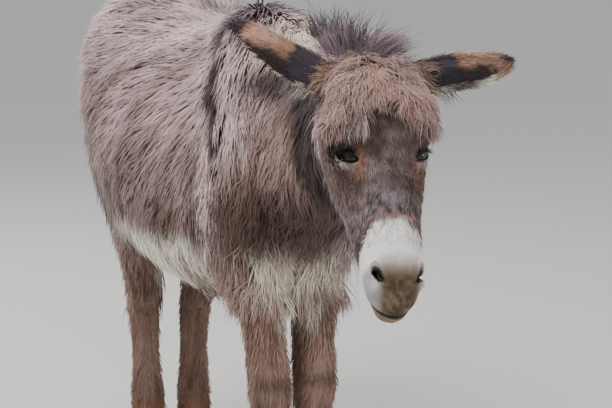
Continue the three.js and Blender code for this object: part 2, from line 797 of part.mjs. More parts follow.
// The heights at which the body's surface crosses a vertical line from above.
function topOf(x, y) {
  let [inside, outside] = [850, 1300];
  while (outside - inside > 0.1) {
    const z = (inside + outside) / 2;
    if (body(x, y, z) < 0) inside = z;
    else outside = z;
  }
  return inside;
}

// Rows of the mane from the poll to the withers: place along the body, sideways place of its root, height
// of its tips over the neck, and how far the tips lean to the donkey's left.
const MANE_ROWS = [
  [-592, -15, 2, 0],
  [-570, -14, 20, 6],
  [-530, -13, 46, 18],
  [-475, -12, 60, 22],
  [-390, -8, 54, 10],
  [-280, -4, 50, 2],
  [-160, 0, 42, 0],
  [-60, 0, 24, 0],
  [0, 0, 3, 0],
];
const MANE_ROOT = 14; // half width where it leaves the neck
const MANE_TIP = 5;
const MANE_SUNK = 12; // depth of its root in the neck

function mane(grow) {
  return solidOf(
    lofted(
      MANE_ROWS.map(([y, x, height, lean], i) => {
        const top = topOf(x, y);
        const end = i === 0 ? -grow : i === MANE_ROWS.length - 1 ? grow : 0;
        const corner = (dx, z) => new THREE.Vector3(x + dx, y + end, z);
        return [
          corner(-MANE_ROOT * 0.6 - grow, top - MANE_SUNK - grow),
          corner(MANE_ROOT * 0.6 + grow, top - MANE_SUNK - grow),
          corner(MANE_ROOT + grow, top),
          corner(lean + MANE_TIP + grow, top + height + grow),
          corner(lean - MANE_TIP - grow, top + height + grow),
          corner(-MANE_ROOT - grow, top),
        ];
      }),
    ),
  );
}

const manePocket = mane(GAP);
add("mane", mane(0), COAT_DARK);

const DOCK = [[0, 866, 998], [0, 0.86, -0.5]]; // trunk to tail
const DOCK_REACH = 44;

let barrel = meshed([-290, -330, 420], [290, 960, 1190], [57, 74, 57])
  .intersect(before(NECK_BASE))
  .subtract(roomFor(DOCK, DOCK_REACH, 100));
for (const side of [1, -1])
  barrel = barrel.subtract(foreRegion(side, HALF_GAP)).subtract(hindRegion(side, HALF_GAP));
add("trunk", barrel.subtract(manePocket), COAT);

const neckBody = within(
  meshed([-190, -640, 560], [190, 20, 1160], [40, 44, 42]),
  beyond(NECK_BASE),
  before(THROAT),
);
add("neck", neckBody.subtract(manePocket), COAT);

const TAIL_SIDES = 10;
const TAIL_ROWS = [
  [0, 846, 1014, 32, 30],
  [0, 890, 976, 29, 27],
  [2, 922, 890, 24, 22],
  [4, 922, 770, 21, 20],
  [6, 910, 650, 20, 20],
  [7, 902, 550, 24, 25],
  [7, 897, 450, 29, 31],
  [7, 894, 360, 23, 24],
  [7, 894, 310, 7, 7],
];
add("tail", within(tube(TAIL_ROWS, TAIL_SIDES), beyond(DOCK)), COAT_LEG);

// ---------------------------------------------------------------- head and ears

// Rows along an ear: share of its length, radius, and the half angle that its wall wraps round.
const EAR_ROWS = [
  [0, 33, 150],
  [0.2, 34, 138],
  [0.34, 37, 122],
  [0.48, 38, 108],
  [0.62, 36, 96],
  [0.75, 31, 88],
  [0.86, 24, 82],
  [0.95, 14, 74],
  [1, 5, 60],
];
const EAR_ARC = 6; // points on the outer side of one ring
const EAR_STUMP = 46; // reach of the cut round the ear's root

function ear(side) {
  const { root, way, opening, twist, curl } = EARS[side];
  const start = new THREE.Vector3(...inHead(...root));
  const along = new THREE.Vector3(...headWay(...way));
  const open = new THREE.Vector3(...headWay(...opening));
  open.addScaledVector(along, -open.dot(along)).normalize();
  const rings = EAR_ROWS.map(([t, radius, wrap]) => {
    const facing = open.clone().applyAxisAngle(along, radians(twist * t ** 3) * side);
    const across = new THREE.Vector3().crossVectors(along, facing);
    const centre = start
      .clone()
      .addScaledVector(along, t * EAR_LENGTH)
      .addScaledVector(facing, -curl * EAR_LENGTH * t * t);
    const inside = Math.max(radius - EAR_THICKNESS, radius * 0.3);
    const arc = (r, i) => {
      const turn = radians(wrap) * ((2 * i) / (EAR_ARC - 1) - 1);
      return centre
        .clone()
        .addScaledVector(facing, -r * Math.cos(turn))
        .addScaledVector(across, r * Math.sin(turn));
    };
    const points = Array.from({ length: EAR_ARC }, (_, i) => i);
    return [...points.map((i) => arc(radius, i)), ...points.reverse().map((i) => arc(inside, i))];
  });
  const joint = start.clone().addScaledVector(along, EAR_JOINT * EAR_LENGTH);
  const cut = [joint.toArray(), along.toArray()];
  return {
    blade: solidOf(lofted(rings)).intersect(beyond(cut)),
    room: roomFor(cut, EAR_STUMP, EAR_LENGTH / 2),
  };
}

let skull = within(
  meshed([-150, -70, -230], [150, 350, 110], [28, 30, 29], HEAD_FRAME),
  beyond(THROAT),
  before(MUZZLE),
);
for (const side of [1, -1]) {
  const { blade, room } = ear(side);
  const socket = ball(onSide(side, EYE_AT, EYES_OFF), [1, 1, 1].map(() => EYE_RADIUS + GAP));
  skull = skull.subtract(room).subtract(lids(side)).subtract(socket);
  add(`ear_${NAMES[side]}`, blade, COAT_DARK);
  add(`eye_${NAMES[side]}`, ball(onSide(side, EYE_AT, EYES_OFF), [1, 1, 1].map(() => EYE_RADIUS)), EYE_BROWN, 0.1);
}
add("head", skull.subtract(manePocket), COAT);

let snout = within(
  meshed([-90, 290, -150], [90, HEAD_LENGTH + 30, 60], [17, 19, 18], HEAD_FRAME),
  beyond(MUZZLE),
);
for (const side of [1, -1]) snout = snout.subtract(ball(onSide(side, NOSTRIL_AT, NOSE_OFF), NOSTRIL_SIZE));
add("muzzle", snout.intersect(before(MOUTH)), MUZZLE_GREY);
add("lower_jaw", snout.intersect(beyond(MOUTH)), MUZZLE_GREY);

// The part's origin is on the floor, under the middle of its box.
const box = new THREE.Box3().setFromObject(donkey);
donkey.position.set(-(box.min.x + box.max.x) / 2, -(box.min.y + box.max.y) / 2, 0);

export default donkey;
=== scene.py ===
"""A shaggy grey-dun donkey, life size, standing with its head lowered and its ears held out sideways.

One skin covers the whole animal. Its coat is solid tufts rooted in that skin: each is a closed, curved spike
with three sides. Eyes and hooves are pieces of their own. Lengths are metres, angles are degrees where a
name or a comment says so, and every random number comes from a fixed seed.
"""

import math

import bpy
import numpy as np
from bpy.props import FloatProperty, FloatVectorProperty, IntProperty, PointerProperty
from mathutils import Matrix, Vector
from mathutils.kdtree import KDTree


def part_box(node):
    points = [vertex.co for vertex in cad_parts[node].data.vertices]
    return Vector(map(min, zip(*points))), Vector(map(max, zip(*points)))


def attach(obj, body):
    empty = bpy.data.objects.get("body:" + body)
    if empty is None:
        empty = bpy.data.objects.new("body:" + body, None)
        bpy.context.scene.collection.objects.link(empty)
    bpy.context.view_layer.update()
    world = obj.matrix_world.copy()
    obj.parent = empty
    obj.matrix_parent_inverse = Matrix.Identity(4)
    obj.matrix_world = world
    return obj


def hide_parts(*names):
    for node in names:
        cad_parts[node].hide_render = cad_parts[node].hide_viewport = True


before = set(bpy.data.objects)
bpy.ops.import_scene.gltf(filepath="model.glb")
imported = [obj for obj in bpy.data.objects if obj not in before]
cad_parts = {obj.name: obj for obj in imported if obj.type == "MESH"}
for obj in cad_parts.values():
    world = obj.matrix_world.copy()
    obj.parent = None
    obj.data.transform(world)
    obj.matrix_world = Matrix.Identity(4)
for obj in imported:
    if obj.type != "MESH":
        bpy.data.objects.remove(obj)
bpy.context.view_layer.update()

bl_info = {
    "name": "Shaggy Donkey",
    "version": (1, 0, 0),
    "blender": (4, 5, 0),
    "location": "View3D > Sidebar > Donkey",
    "description": "Dresses the donkey's plain solids in skin, coat, eyes and hooves",
    "category": "Object",
}

BODY = "root"
FLESH = ["trunk", "neck", "head", "muzzle", "lower_jaw", "tail", "ear_left", "ear_right"] + [
    f"{leg}_{part}_{side}"
    for leg in ("foreleg", "hind_leg")
    for part in ("upper", "lower")
    for side in ("left", "right")
]

# ---------------------------------------------------------------- places on the body

# The landmarks below are measured from the floor under the withers, which stands here in the frame.
HERE = np.array([-0.0274, -0.0712, 0.0])
POLL = np.array([-0.014, -0.556, 1.014])
PITCH, YAW = math.radians(59), math.radians(-13)


def turn_z(v, a):
    """A row of vectors turned about Z by an angle."""
    c, s = math.cos(a), math.sin(a)
    return np.stack([c * v[..., 0] - s * v[..., 1], s * v[..., 0] + c * v[..., 1], v[..., 2]], -1)


# Rows are the head's own axes: sideways to the left, down the face, and out of the face.
DOWN_FACE = [0, -math.cos(PITCH), -math.sin(PITCH)]
OUT_OF_FACE = [0, -math.sin(PITCH), math.cos(PITCH)]
HEAD_AXES = turn_z(np.array([[1, 0, 0], DOWN_FACE, OUT_OF_FACE], float), YAW)
EAR_LENGTH = 0.245
EARS = {
    1: dict(
        root=np.array([0.062, 0.014, -0.038]), way=np.array([0.925, -0.27, -0.24]), twist=70.0, curl=-0.04
    ),
    -1: dict(
        root=np.array([-0.062, 0.026, -0.038]), way=np.array([-0.75, -0.62, -0.2]), twist=0.0, curl=0.05
    ),
}
EAR_OPENING = np.array([0.1, 0.3, -0.9])
EYE_AT = np.array([0.0575, 0.188, 0.003])
EYE_RADIUS = 0.020
EYE_LOOK = np.array([0.70, 0.05, 0.71])
LIDS_SLOPE = math.radians(38)
NOSTRIL_AT = np.array([0.040, 0.424])
# How far the middles of the nose and of the eyes stand off the middle plane of the head.
FACE_MIDDLE = 0.006
EYES_MIDDLE = 0.002
TAIL_PATH = np.array(
    [
        [0, 0.846, 1.014],
        [0, 0.890, 0.976],
        [0.002, 0.922, 0.890],
        [0.004, 0.922, 0.770],
        [0.006, 0.910, 0.650],
        [0.007, 0.902, 0.550],
        [0.007, 0.897, 0.450],
        [0.007, 0.894, 0.360],
        [0.007, 0.894, 0.310],
    ]
)


def unit(v):
    """Each row divided by its own length."""
    return v / np.maximum(np.linalg.norm(v, axis=-1, keepdims=True), 1e-12)


def ramp(x, start, end):
    """A smooth step from 0 at start to 1 at end: 3t^2 - 2t^3."""
    t = np.clip((x - start) / (end - start), 0, 1)
    return t * t * (3 - 2 * t)


def hill(x, middle, half):
    """A smooth bump of height 1 at the middle that has died out at half a width away."""
    return ramp(-np.abs(x - middle), -half, 0)


def blob(x, y, wide, tall):
    """A round spot of height 1 where x and y are 0, as wide and as tall as told."""
    return np.exp(-((x / wide) ** 2) - (y / tall) ** 2)


def dots(a, b):
    """The dot product of each row of a with the same row of b, as a column."""
    return np.sum(a * b, 1, keepdims=True)


def mix(a, b, t):
    """a where t is 0 and b where t is 1, for numbers or for rows of three."""
    t = np.asarray(t)
    if 3 in (*np.shape(a)[-1:], *np.shape(b)[-1:]):
        t = t[..., None]
    return a + (b - a) * t


def hashed(cell, seed):
    """A number from 0 to 1 for each whole-numbered lattice cell, scrambled by multiply and xor."""
    c = cell.astype(np.int64)
    h = (c[..., 0] * 73856093) ^ (c[..., 1] * 19349663) ^ (c[..., 2] * 83492791) ^ (seed * 2654435761)
    h = ((h ^ (h >> 13)) * 1274126177) & 0xFFFFFFFF
    h = ((h ^ (h >> 16)) * 2246822519) & 0xFFFFFFFF
    return ((h ^ (h >> 15)) & 0xFFFFFF) / float(0xFFFFFF)


def mottle(p, size, seed):
    """Smooth value noise from -1 to 1: hashed lattice corners, size apart, blended by a cubic step."""
    q = p / size + 100.0
    base = np.floor(q)
    f = q - base
    f = f * f * (3 - 2 * f)
    total = 0.0
    for i in (0, 1):
        for j in (0, 1):
            for k in (0, 1):
                w = (f[..., 0] if i else 1 - f[..., 0]) * (f[..., 1] if j else 1 - f[..., 1])
                w = w * (f[..., 2] if k else 1 - f[..., 2])
                total = total + w * hashed(base + np.array([i, j, k]), seed)
    return total * 2 - 1


def to_head(q):
    """Points in the head's own frame, from landmark space."""
    return (q - POLL) @ HEAD_AXES.T


def from_head(h):
    """Points back in the frame, from the head's own frame."""
    return h @ HEAD_AXES + POLL + HERE


def ear_frame(side, t):
    """The ear's way, the way its hollow faces and the way across, at a share t of its length. All three are
    in head space."""
    ear = EARS[side]
    way = unit(ear["way"])
    facing = unit(EAR_OPENING - way * (EAR_OPENING @ way))
    a = np.radians(ear["twist"]) * np.asarray(t, float) ** 3 * side
    cross = np.cross(way, facing)
    facing = facing * np.cos(a)[..., None] + cross * np.sin(a)[..., None]
    return way, facing, np.cross(way, facing)


class Place:
    """Where each of many points lies on the animal: landmark space, head space, and a mask for each
    region."""

    def __init__(self, p, n):
        self.p, self.n = p, n
        self.q = q = p - HERE
        self.x, self.y, self.z = q[:, 0], q[:, 1], q[:, 2]
        self.h = to_head(q)
        self.hx, self.hs, self.hn = self.h.T
        self.hnormal = n @ HEAD_AXES.T
        near = ramp(-self.y, 0.30, 0.36)
        self.beyond = (self.hs - 0.06) * 0.62 + self.hn + 0.15
        self.head = ramp(self.beyond, -0.012, 0.02) * near
        self.ear, self.ear_t, self.ear_in, self.ear_low = {}, {}, {}, {}
        for side in (1, -1):
            ear = EARS[side]
            way = unit(ear["way"])
            rel = self.h - ear["root"]
            t = (rel @ way) / EAR_LENGTH
            _, facing, across = ear_frame(side, np.clip(t, 0, 1))
            centre = way * (t * EAR_LENGTH)[:, None] - facing * (ear["curl"] * EAR_LENGTH * t * t)[:, None]
            off = rel - centre
            far = np.linalg.norm(off - way * (off @ way)[:, None], axis=1)
            self.ear[side] = ramp(t, 0.10, 0.2) * (far < 0.066) * (t < 1.15) * near
            self.ear_t[side] = t
            self.ear_in[side] = np.sum(self.hnormal * facing, 1)
            self.ear_low[side] = np.sum(off * across, 1) * side
        self.ears = np.maximum(self.ear[1], self.ear[-1])
        self.head = np.maximum(self.head, self.ears)
        side = np.sign(self.x)
        self.fore = ramp(-self.z, -0.57, -0.47) * (self.y < 0.2) * (1 - self.head)
        self.hind = ramp(-self.z, -0.66, -0.48) * (self.y > 0.42) * (1 - self.head)
        path = TAIL_PATH[np.argsort(TAIL_PATH[:, 2])]
        tx = np.interp(self.z, path[:, 2], path[:, 0])
        ty = np.interp(self.z, path[:, 2], path[:, 1])
        self.tail = (np.hypot(self.x - tx, self.y - ty) < 0.052) * (self.y > 0.868) * 1.0
        self.hind = self.hind * (1 - self.tail)
        self.legs = np.maximum(self.fore, self.hind)
        self.inner = ramp(-side * n[:, 0], 0.0, 0.7)
        self.neck = ramp(-self.y + 0.45 * (self.z - 0.88), 0.13, 0.2) * (1 - self.head)
        self.trunk = (1 - self.head) * (1 - self.legs) * (1 - self.tail)
        self.under = ramp(-n[:, 2], 0.15, 0.75) * self.trunk
        self.belly = ramp(-self.z - 0.10 * self.under, -0.64, -0.50) * self.trunk * (self.y > -0.02)
        self.chest = ramp(-self.z, -0.80, -0.62) * ramp(-self.y, -0.02, 0.08) * self.trunk
        end = 0.102 + 0.036 * ramp(np.abs(self.hx + 0.005), 0.004, 0.050)
        self.mop = self.head * ramp(end - self.hs, -0.008, 0.008) * ramp(self.hnormal[:, 2], -0.1, 0.45)
        self.mop = self.mop * (1 - self.ears) * ramp(self.hn, -0.045, -0.005)
        self.muzzle = self.head * ramp(self.hs + 0.12 * self.hn, 0.33, 0.38)
        self.jaw = self.head * ramp(-self.hn, 0.08, 0.13) * (1 - self.ears)
        # Height over the line of the mouth, and how far the place lies off the middle of the nose.
        self.lip = self.hn + 0.075 - (self.hs - 0.38) * 0.514
        self.off_nose = np.abs(self.hx - FACE_MIDDLE)

    def on_ears(self, value):
        """The larger of the two ears' masks, each times the value that belongs to its side."""
        return np.maximum(self.ear[1] * value(1), self.ear[-1] * value(-1))

    def ear_hollow(self):
        """How far each point lies within the hollow of an ear."""
        return self.on_ears(lambda side: ramp(self.ear_in[side], 0, 0.4))


# ---------------------------------------------------------------- colours


def linear(code):
    """An sRGB hex colour as three linear numbers."""
    v = np.array([int(code[i : i + 2], 16) / 255 for i in (1, 3, 5)])
    return np.where(v <= 0.04045, v / 12.92, ((v + 0.055) / 1.055) ** 2.4)


TAUPE = linear("#ab8f8e")
TAUPE_LIGHT = linear("#d6bfbc")
TAUPE_DARK = linear("#574238")
CREAM = linear("#efe8da")
STRAW = linear("#b49f80")
STRIPE = linear("#3d2a2c")
LEG_BROWN = linear("#96776a")
LEG_DARK = linear("#4d392e")
FACE = linear("#75645f")
FACE_DARK = linear("#3f322e")
CHEEK = linear("#6d5348")
LILAC = linear("#a2969f")
RUST = linear("#97674b")
MOP = linear("#967a73")
WHITE = linear("#ece7e2")
NOSE = linear("#7b6c5f")
NOSE_DARK = linear("#43341f")
EAR_TAN = linear("#9a7767")
EAR_BLACK = linear("#2a1d1a")
EAR_BLUE = linear("#27242f")
SHADE = linear("#382a29")
SKIN_DARK = linear("#1a1514")
WITHERS = linear("#57404a")
MOP_WARM = linear("#a98468")
MOP_PALE_AND_HIGHLIGHT = linear("#b9abb0")
NOSE_SIDE = linear("#7e7a80")
MOUTH = linear("#2c2a2d")
MANE_DARK = linear("#4d3a40")
MANE = linear("#8c7279")
SPIKE = linear("#33262a")
IRIS = linear("#2b180d")
IRIS_EDGE = linear("#120a07")
EYE_WHITE = linear("#4a372b")
PUPIL = linear("#030303")
HORN_DARK = linear("#1f1a17")
HORN_LIGHT = linear("#5b5149")


def streaks(q, lie, across, along, seed):
    """Noise drawn out along the hair: the mean of value noise at nine places along the lie, -1 to 1."""
    total = 0.0
    for k in np.linspace(-0.5, 0.5, 9):
        total = total + mottle(q + lie * (k * along), across, seed)
    return np.clip(total / 9 * 2.6, -1, 1)


def fold_line(z):
    """How far forward or back the crease behind the shoulder runs at a height."""
    return np.interp(z, [0.58, 0.60, 0.713, 0.805, 0.84], [0.01, -0.005, -0.074, -0.072, -0.080])


def nostril(a, side):
    """How far a point lies from a nostril's slanting slit, 1 at its edge, and on which side of it."""
    dx, ds = (a.hx - FACE_MIDDLE) * side - NOSTRIL_AT[0], a.hs - NOSTRIL_AT[1]
    outwards, down = 0.88 * dx + 0.47 * ds, -0.47 * dx + 0.88 * ds
    outwards = outwards + 0.0035 * (down / 0.02) ** 2
    slit = np.hypot(outwards / (0.0062 - 0.10 * np.clip(down, -0.02, 0.02)), down / 0.0185)
    return np.where((a.hn > -0.035) & (a.head > 0.5), slit, 9.0), outwards, down


def stripe_line(z):
    """How far forward or back the dark stripe over the shoulder runs at a height."""
    heights = [0.80, 0.826, 0.874, 0.93, 0.99, 1.026, 1.08]
    return np.interp(z, heights, [-0.088, -0.078, -0.054, -0.022, 0.014, 0.038, 0.07])


def coat_colour(a, lie=None):
    """The coat's colour at many places: the ground colour of each region, with each marking and each patch of
    painted shade and highlight mixed over it.
    """
    lie = coat_lie(a) if lie is None else lie
    q = a.q
    wave, fine, curl = mottle(q, 0.12, 3), mottle(q, 0.035, 4), mottle(q, 0.012, 33)
    broad, thin = streaks(q, lie, 0.030, 0.15, 31), streaks(q, lie, 0.011, 0.07, 32)
    body = 1 - a.head
    # Trunk: grey-mauve, paler along the top, browner and darker below.
    low = ramp(-a.z, -0.95, -0.66)
    c = mix(TAUPE, TAUPE_DARK, np.clip(0.10 + 0.72 * low - 0.30 * broad - 0.15 * thin + 0.12 * wave, 0, 1))
    light = np.clip(0.38 * ramp(a.z, 0.88, 1.02) + 0.34 * broad + 0.18 * thin, 0, 0.9)
    c = mix(c, TAUPE_LIGHT, light * (1 - 0.7 * low))
    # Neck: a little browner.
    c = mix(c, LEG_BROWN * (1 + 0.3 * thin)[:, None], 0.55 * ramp(-a.y, 0.15, 0.26) * body)
    c = mix(c, TAUPE_LIGHT, 0.45 * hill(a.y, -0.10, 0.09) * ramp(a.z, 0.70, 0.82) * body)
    # The crease behind the shoulder: a band of painted highlight on the ridge, and a line of painted shade in
    # the crease before it.
    crease = a.y - fold_line(a.z) + 0.004 * fine
    high = np.clip(1.8 * hill(a.z, 0.70, 0.17), 0, 1) * a.trunk
    c = mix(c, TAUPE_LIGHT * 1.15, np.clip(1.3 * hill(crease, 0.020, 0.026), 0, 0.9) * high)
    c = mix(c, STRIPE * 1.1, np.clip(1.3 * hill(crease, -0.008, 0.017), 0, 0.9) * high)
    # Cream under the belly and between the thighs, and straw-tinged on the chest, with a wandering edge.
    edge = 0.020 * mottle(q, 0.09, 5) + 0.014 * thin
    within = np.maximum(ramp(0.66 - a.y, 0, 0.06), a.inner)
    top = 0.634 - 0.030 * ramp(a.y, 0.40, 0.62)
    belly = ramp(top - a.z - edge, 0, 0.030) * ramp(a.y, 0.02, 0.08) * a.trunk * within
    wide = ramp(0.100 - np.abs(a.x) + edge, 0, 0.025) * ramp(a.z, 0.47, 0.56)
    chest = ramp(0.636 - a.z - edge, 0, 0.04) * ramp(-a.y, 0.0, 0.05) * body * wide
    under = mix(CREAM, STRAW, np.clip(0.12 - 0.35 * broad - 0.25 * thin + 0.30 * chest, 0, 1))
    c = mix(c, under, np.maximum(belly, chest))
    # A dark curly throat over the pale chest.
    throat = ramp(-a.y, 0.10, 0.17) * hill(a.z + 0.6 * edge, 0.705, 0.085) * ramp(0.12 - np.abs(a.x), 0, 0.03)
    c = mix(c, SHADE, np.clip(1.25 * throat, 0, 0.9) * body * (0.8 + 0.2 * thin))
    # Dark line along the back, a dark patch on the withers and the stripe over the shoulder.
    back = hill(a.x, 0, 0.034 + 0.006 * fine) * ramp(a.n[:, 2], 0.3, 0.7) * ramp(a.y, -0.06, -0.02) * body
    c = mix(c, STRIPE, 0.8 * back * (1 - a.tail))
    half = np.interp(a.z, [0.80, 0.85, 1.0, 1.07], [0.020, 0.036, 0.052, 0.060])
    past = a.y - stripe_line(a.z)
    cross = hill((past + 0.003 * fine) / half, 0, 1.0) * ramp(a.z, 0.79, 0.84) * a.trunk
    c = mix(c, TAUPE_LIGHT, 0.4 * hill(past, 0.056, 0.024) * ramp(a.z, 0.80, 0.86) * a.trunk)
    c = mix(c, STRIPE * 0.55, np.clip(cross * 2.2, 0, 0.96))
    narrow = ramp(0.095 - np.abs(a.x + 0.01), 0, 0.03)
    patch = hill(a.y, 0.0, 0.12) * ramp(a.z, 0.985, 1.02) * narrow * a.trunk
    c = mix(c, WITHERS, np.clip(1.8 * patch, 0, 0.9))
    pale = hill(a.y, -0.20, 0.16) * ramp(a.z, 0.965, 1.01) * body
    c = mix(c, CREAM * [0.88, 0.74, 0.68], np.clip(1.6 * pale * (1 - patch), 0, 0.85))
    # Painted shade behind the ears, and a band of painted shade along the neck beside the head.
    shade = blob(a.y + 0.215, a.z - 0.955, 0.10, 0.034) * ramp(np.abs(a.x), 0.03, 0.05)
    c = mix(c, SHADE * 0.6, np.clip(1.4 * shade, 0, 0.94) * body)
    band = ramp(-a.y, 0.30, 0.345) * ramp(a.z, 0.68, 0.74) * ramp(1.0 - a.z, 0.0, 0.06) * body
    c = mix(c, SHADE * 0.75, 0.95 * band)
    # Brown legs with darker streaks, cream inside the upper part, rusty at the fetlocks.
    dark = np.clip(0.30 - 0.35 * broad - 0.25 * thin + 0.15 * wave + 0.20 * ramp(-a.z, -0.25, -0.08), 0, 1)
    leg = mix(LEG_BROWN, LEG_DARK, np.clip(dark + 0.22 * (a.y > 0.3), 0, 1))
    leg = mix(leg, TAUPE * 0.9, 0.35 * ramp(a.z, 0.42, 0.56) * (1 - a.inner))
    leg = mix(leg, LEG_DARK * 0.6, 0.6 * hill(a.z, 0.335, 0.03) * ramp(-a.n[:, 1], 0.2, 0.8) * (a.y < 0.2))
    leg = mix(leg, CREAM * 0.85, 0.9 * ramp(a.inner, 0.35, 0.8) * ramp(a.z + 0.4 * edge, 0.40, 0.50))
    leg = mix(leg, RUST * 0.8, 0.35 * hill(a.z, 0.13, 0.06))
    c = mix(c, leg, np.maximum(a.legs, ramp(-a.z, -0.60, -0.56) * body) * (1 - belly) * (1 - chest))
    # Tail: taupe above, dark in the tassel.
    c = mix(c, mix(TAUPE * 0.75, STRIPE, ramp(-a.z, -0.80, -0.58)), a.tail)
    c = mix(c, face_colour(a, broad, thin, curl), a.head)
    for side in (1, -1):
        c = mix(c, ear_colour(a, side, thin, curl), a.ear[side])
    return np.clip(c, 0, 1)


def face_colour(a, broad, thin, curl):
    """The head's colour: dark short hair, a lilac sheen painted over pale curls down the front, warm by the
    inner corners of the eyes, painted shade on the upper lid and a pale bag at each eye, a painted shadow on
    the forehead under the mop's edge, a mauve mop with a pale tuft and a painted highlight over the near eye,
    a white muzzle with a grey nose, and a dark line of the mouth."""
    q = a.q
    patchy = mottle(q, 0.03, 7)
    face = mix(FACE, FACE_DARK, np.clip(0.56 + 0.40 * patchy - 0.45 * curl, 0, 1))
    cheek = ramp(np.abs(a.hnormal[:, 0]), 0.40, 0.80)
    ruddy = mix(CHEEK * [0.85, 0.72, 0.66], FACE_DARK, np.clip(0.40 + 0.3 * patchy - 0.4 * curl, 0, 1))
    face = mix(face, ruddy, 0.85 * cheek)
    # Painted lilac sheen across the front of the face, over pale curly hairs.
    lilac_sheen_over_curls = np.exp(-(((a.hs - 0.300) / 0.045) ** 2)) * np.clip(0.65 + 0.7 * curl, 0, 1)
    face = mix(face, LILAC, 0.42 * lilac_sheen_over_curls * ramp(a.hn, -0.09, -0.05))
    rim = hill(a.beyond, 0.012, 0.028) * ramp(a.hn, -0.24, -0.19) * (np.abs(a.hnormal[:, 0]) > 0.3)
    face = mix(face, TAUPE_LIGHT, 0.9 * rim)
    ring = bump_at(a, 0.054, 0.212, 0.011, 0.024) * ramp(a.hn, -0.04, 0.0)
    face = mix(face, RUST * [0.9, 0.95, 1.0], np.clip(0.62 * ring * (1 - 0.7 * curl), 0, 0.75))
    # Painted shadow on the forehead, just under the mop's overhanging edge.
    brow = ramp(-a.hs, -0.170, -0.125) * ramp(a.hnormal[:, 2], 0.1, 0.5)
    face = mix(face, FACE_DARK * 0.5, 0.85 * brow)
    middle = ramp(0.022 - np.abs(a.hx + 0.012), 0, 0.02) * ramp(0.11 - a.hs, 0, 0.04)
    warm = np.clip(middle + ramp(a.off_nose, 0.055, 0.075) * ramp(0.06 - a.hs, 0, 0.03), 0, 1)
    lit = np.clip(0.5 + 0.6 * broad + 0.5 * thin + 0.35 * patchy, 0, 1)
    mop = mix(MOP * 0.36, MOP * [1.3, 1.24, 1.26], lit)
    mop = mix(mop, MOP_WARM, 0.6 * warm * (0.6 + 0.4 * thin))
    # A pale tuft over the near eye, with a painted highlight on it.
    mop = mix(mop, MOP_PALE_AND_HIGHLIGHT, 0.6 * blob(a.hx + 0.056, a.hs - 0.136, 0.016, 0.014))
    for side in (1, -1):
        u, v, _ = eye_place(a, side)
        near = np.abs(a.hx - eye_frame(side)[0][0]) < 0.05
        bag = hill(v, -0.017, 0.009) * hill(u, 0.002, 0.030) * near
        face = mix(face, TAUPE_LIGHT * 0.75, 0.75 * bag)
        # Painted shade on the upper lid, under the brow.
        face = mix(face, FACE_DARK * 0.5, 0.7 * hill(v, 0.012, 0.008) * hill(u, 0, 0.030) * near)
    face = mix(face, mop, a.mop)
    # White muzzle, with a warm fringe along its upper edge.
    line = a.hs + 0.35 * a.hn + 0.008 * mottle(q, 0.02, 8) + 0.007 * curl
    line = line - 2.0 * np.maximum(a.off_nose - 0.042, 0)
    fringe = 0.5 * hill(line, 0.321, 0.018) * np.clip(0.5 + curl, 0, 1) * ramp(0.06 - a.off_nose, 0, 0.02)
    face = mix(face, RUST * 1.1, fringe)
    face = mix(face, mix(WHITE, WHITE * 0.70, np.clip(-0.2 + 0.6 * curl, 0, 1)), ramp(line, 0.322, 0.338))
    grain = mottle(a.h, 0.006, 9) * 0.5 + 0.5 * mottle(a.h * [1, 0.3, 1], 0.006, 19)
    wing = ramp(a.off_nose + 0.003 * grain, 0.040, 0.054) * ramp(a.hs, 0.395, 0.42)
    face = mix(face, mix(WHITE * 0.50, LILAC * 0.8, 0.4), wing)
    face = mix(face, NOSE_SIDE, 0.8 * ramp(a.off_nose, 0.030, 0.045) * ramp(a.hs, 0.436, 0.456))
    nose = ramp(a.hs + 0.006 * grain, 0.372, 0.418) * ramp(0.052 - a.off_nose, 0, 0.024)
    face = mix(face, NOSE * (1 + 0.28 * grain)[:, None], 0.9 * nose)
    end = ramp(a.hs + 0.008 * grain, 0.402, 0.434) * ramp(0.054 - a.off_nose + 0.006 * grain, 0, 0.034)
    tip = mix(NOSE_DARK * [0.8, 0.72, 0.5], NOSE * [0.7, 0.62, 0.45], np.clip(0.2 + 0.9 * grain, 0, 1))
    face = mix(face, tip, 0.95 * end)
    upper = 0.8 * ramp(a.hs, 0.452, 0.466) * ramp(0.04 - a.off_nose, 0, 0.02)
    face = mix(face, mix(NOSE_DARK, NOSE, np.clip(0.4 + grain, 0, 1)), upper)
    lower = ramp(-a.lip, -0.002, 0.003) * ramp(a.hs, 0.37, 0.40)
    chin = mix(NOSE_DARK * 1.3, NOSE * [1.5, 1.35, 1.1], np.clip(0.7 + 0.9 * grain, 0, 1))
    face = mix(face, chin, 0.9 * lower * ramp(-a.lip, -0.05, -0.02))
    mouth = np.clip(1.4 * hill(a.lip, -0.002, 0.0085), 0, 1) * ramp(a.hs, 0.375, 0.39)
    face = mix(face, MOUTH, mouth)
    return mix(face, CREAM * 0.75, 0.5 * a.jaw * ramp(-a.hnormal[:, 2], 0.2, 0.7) * (1 - lower))


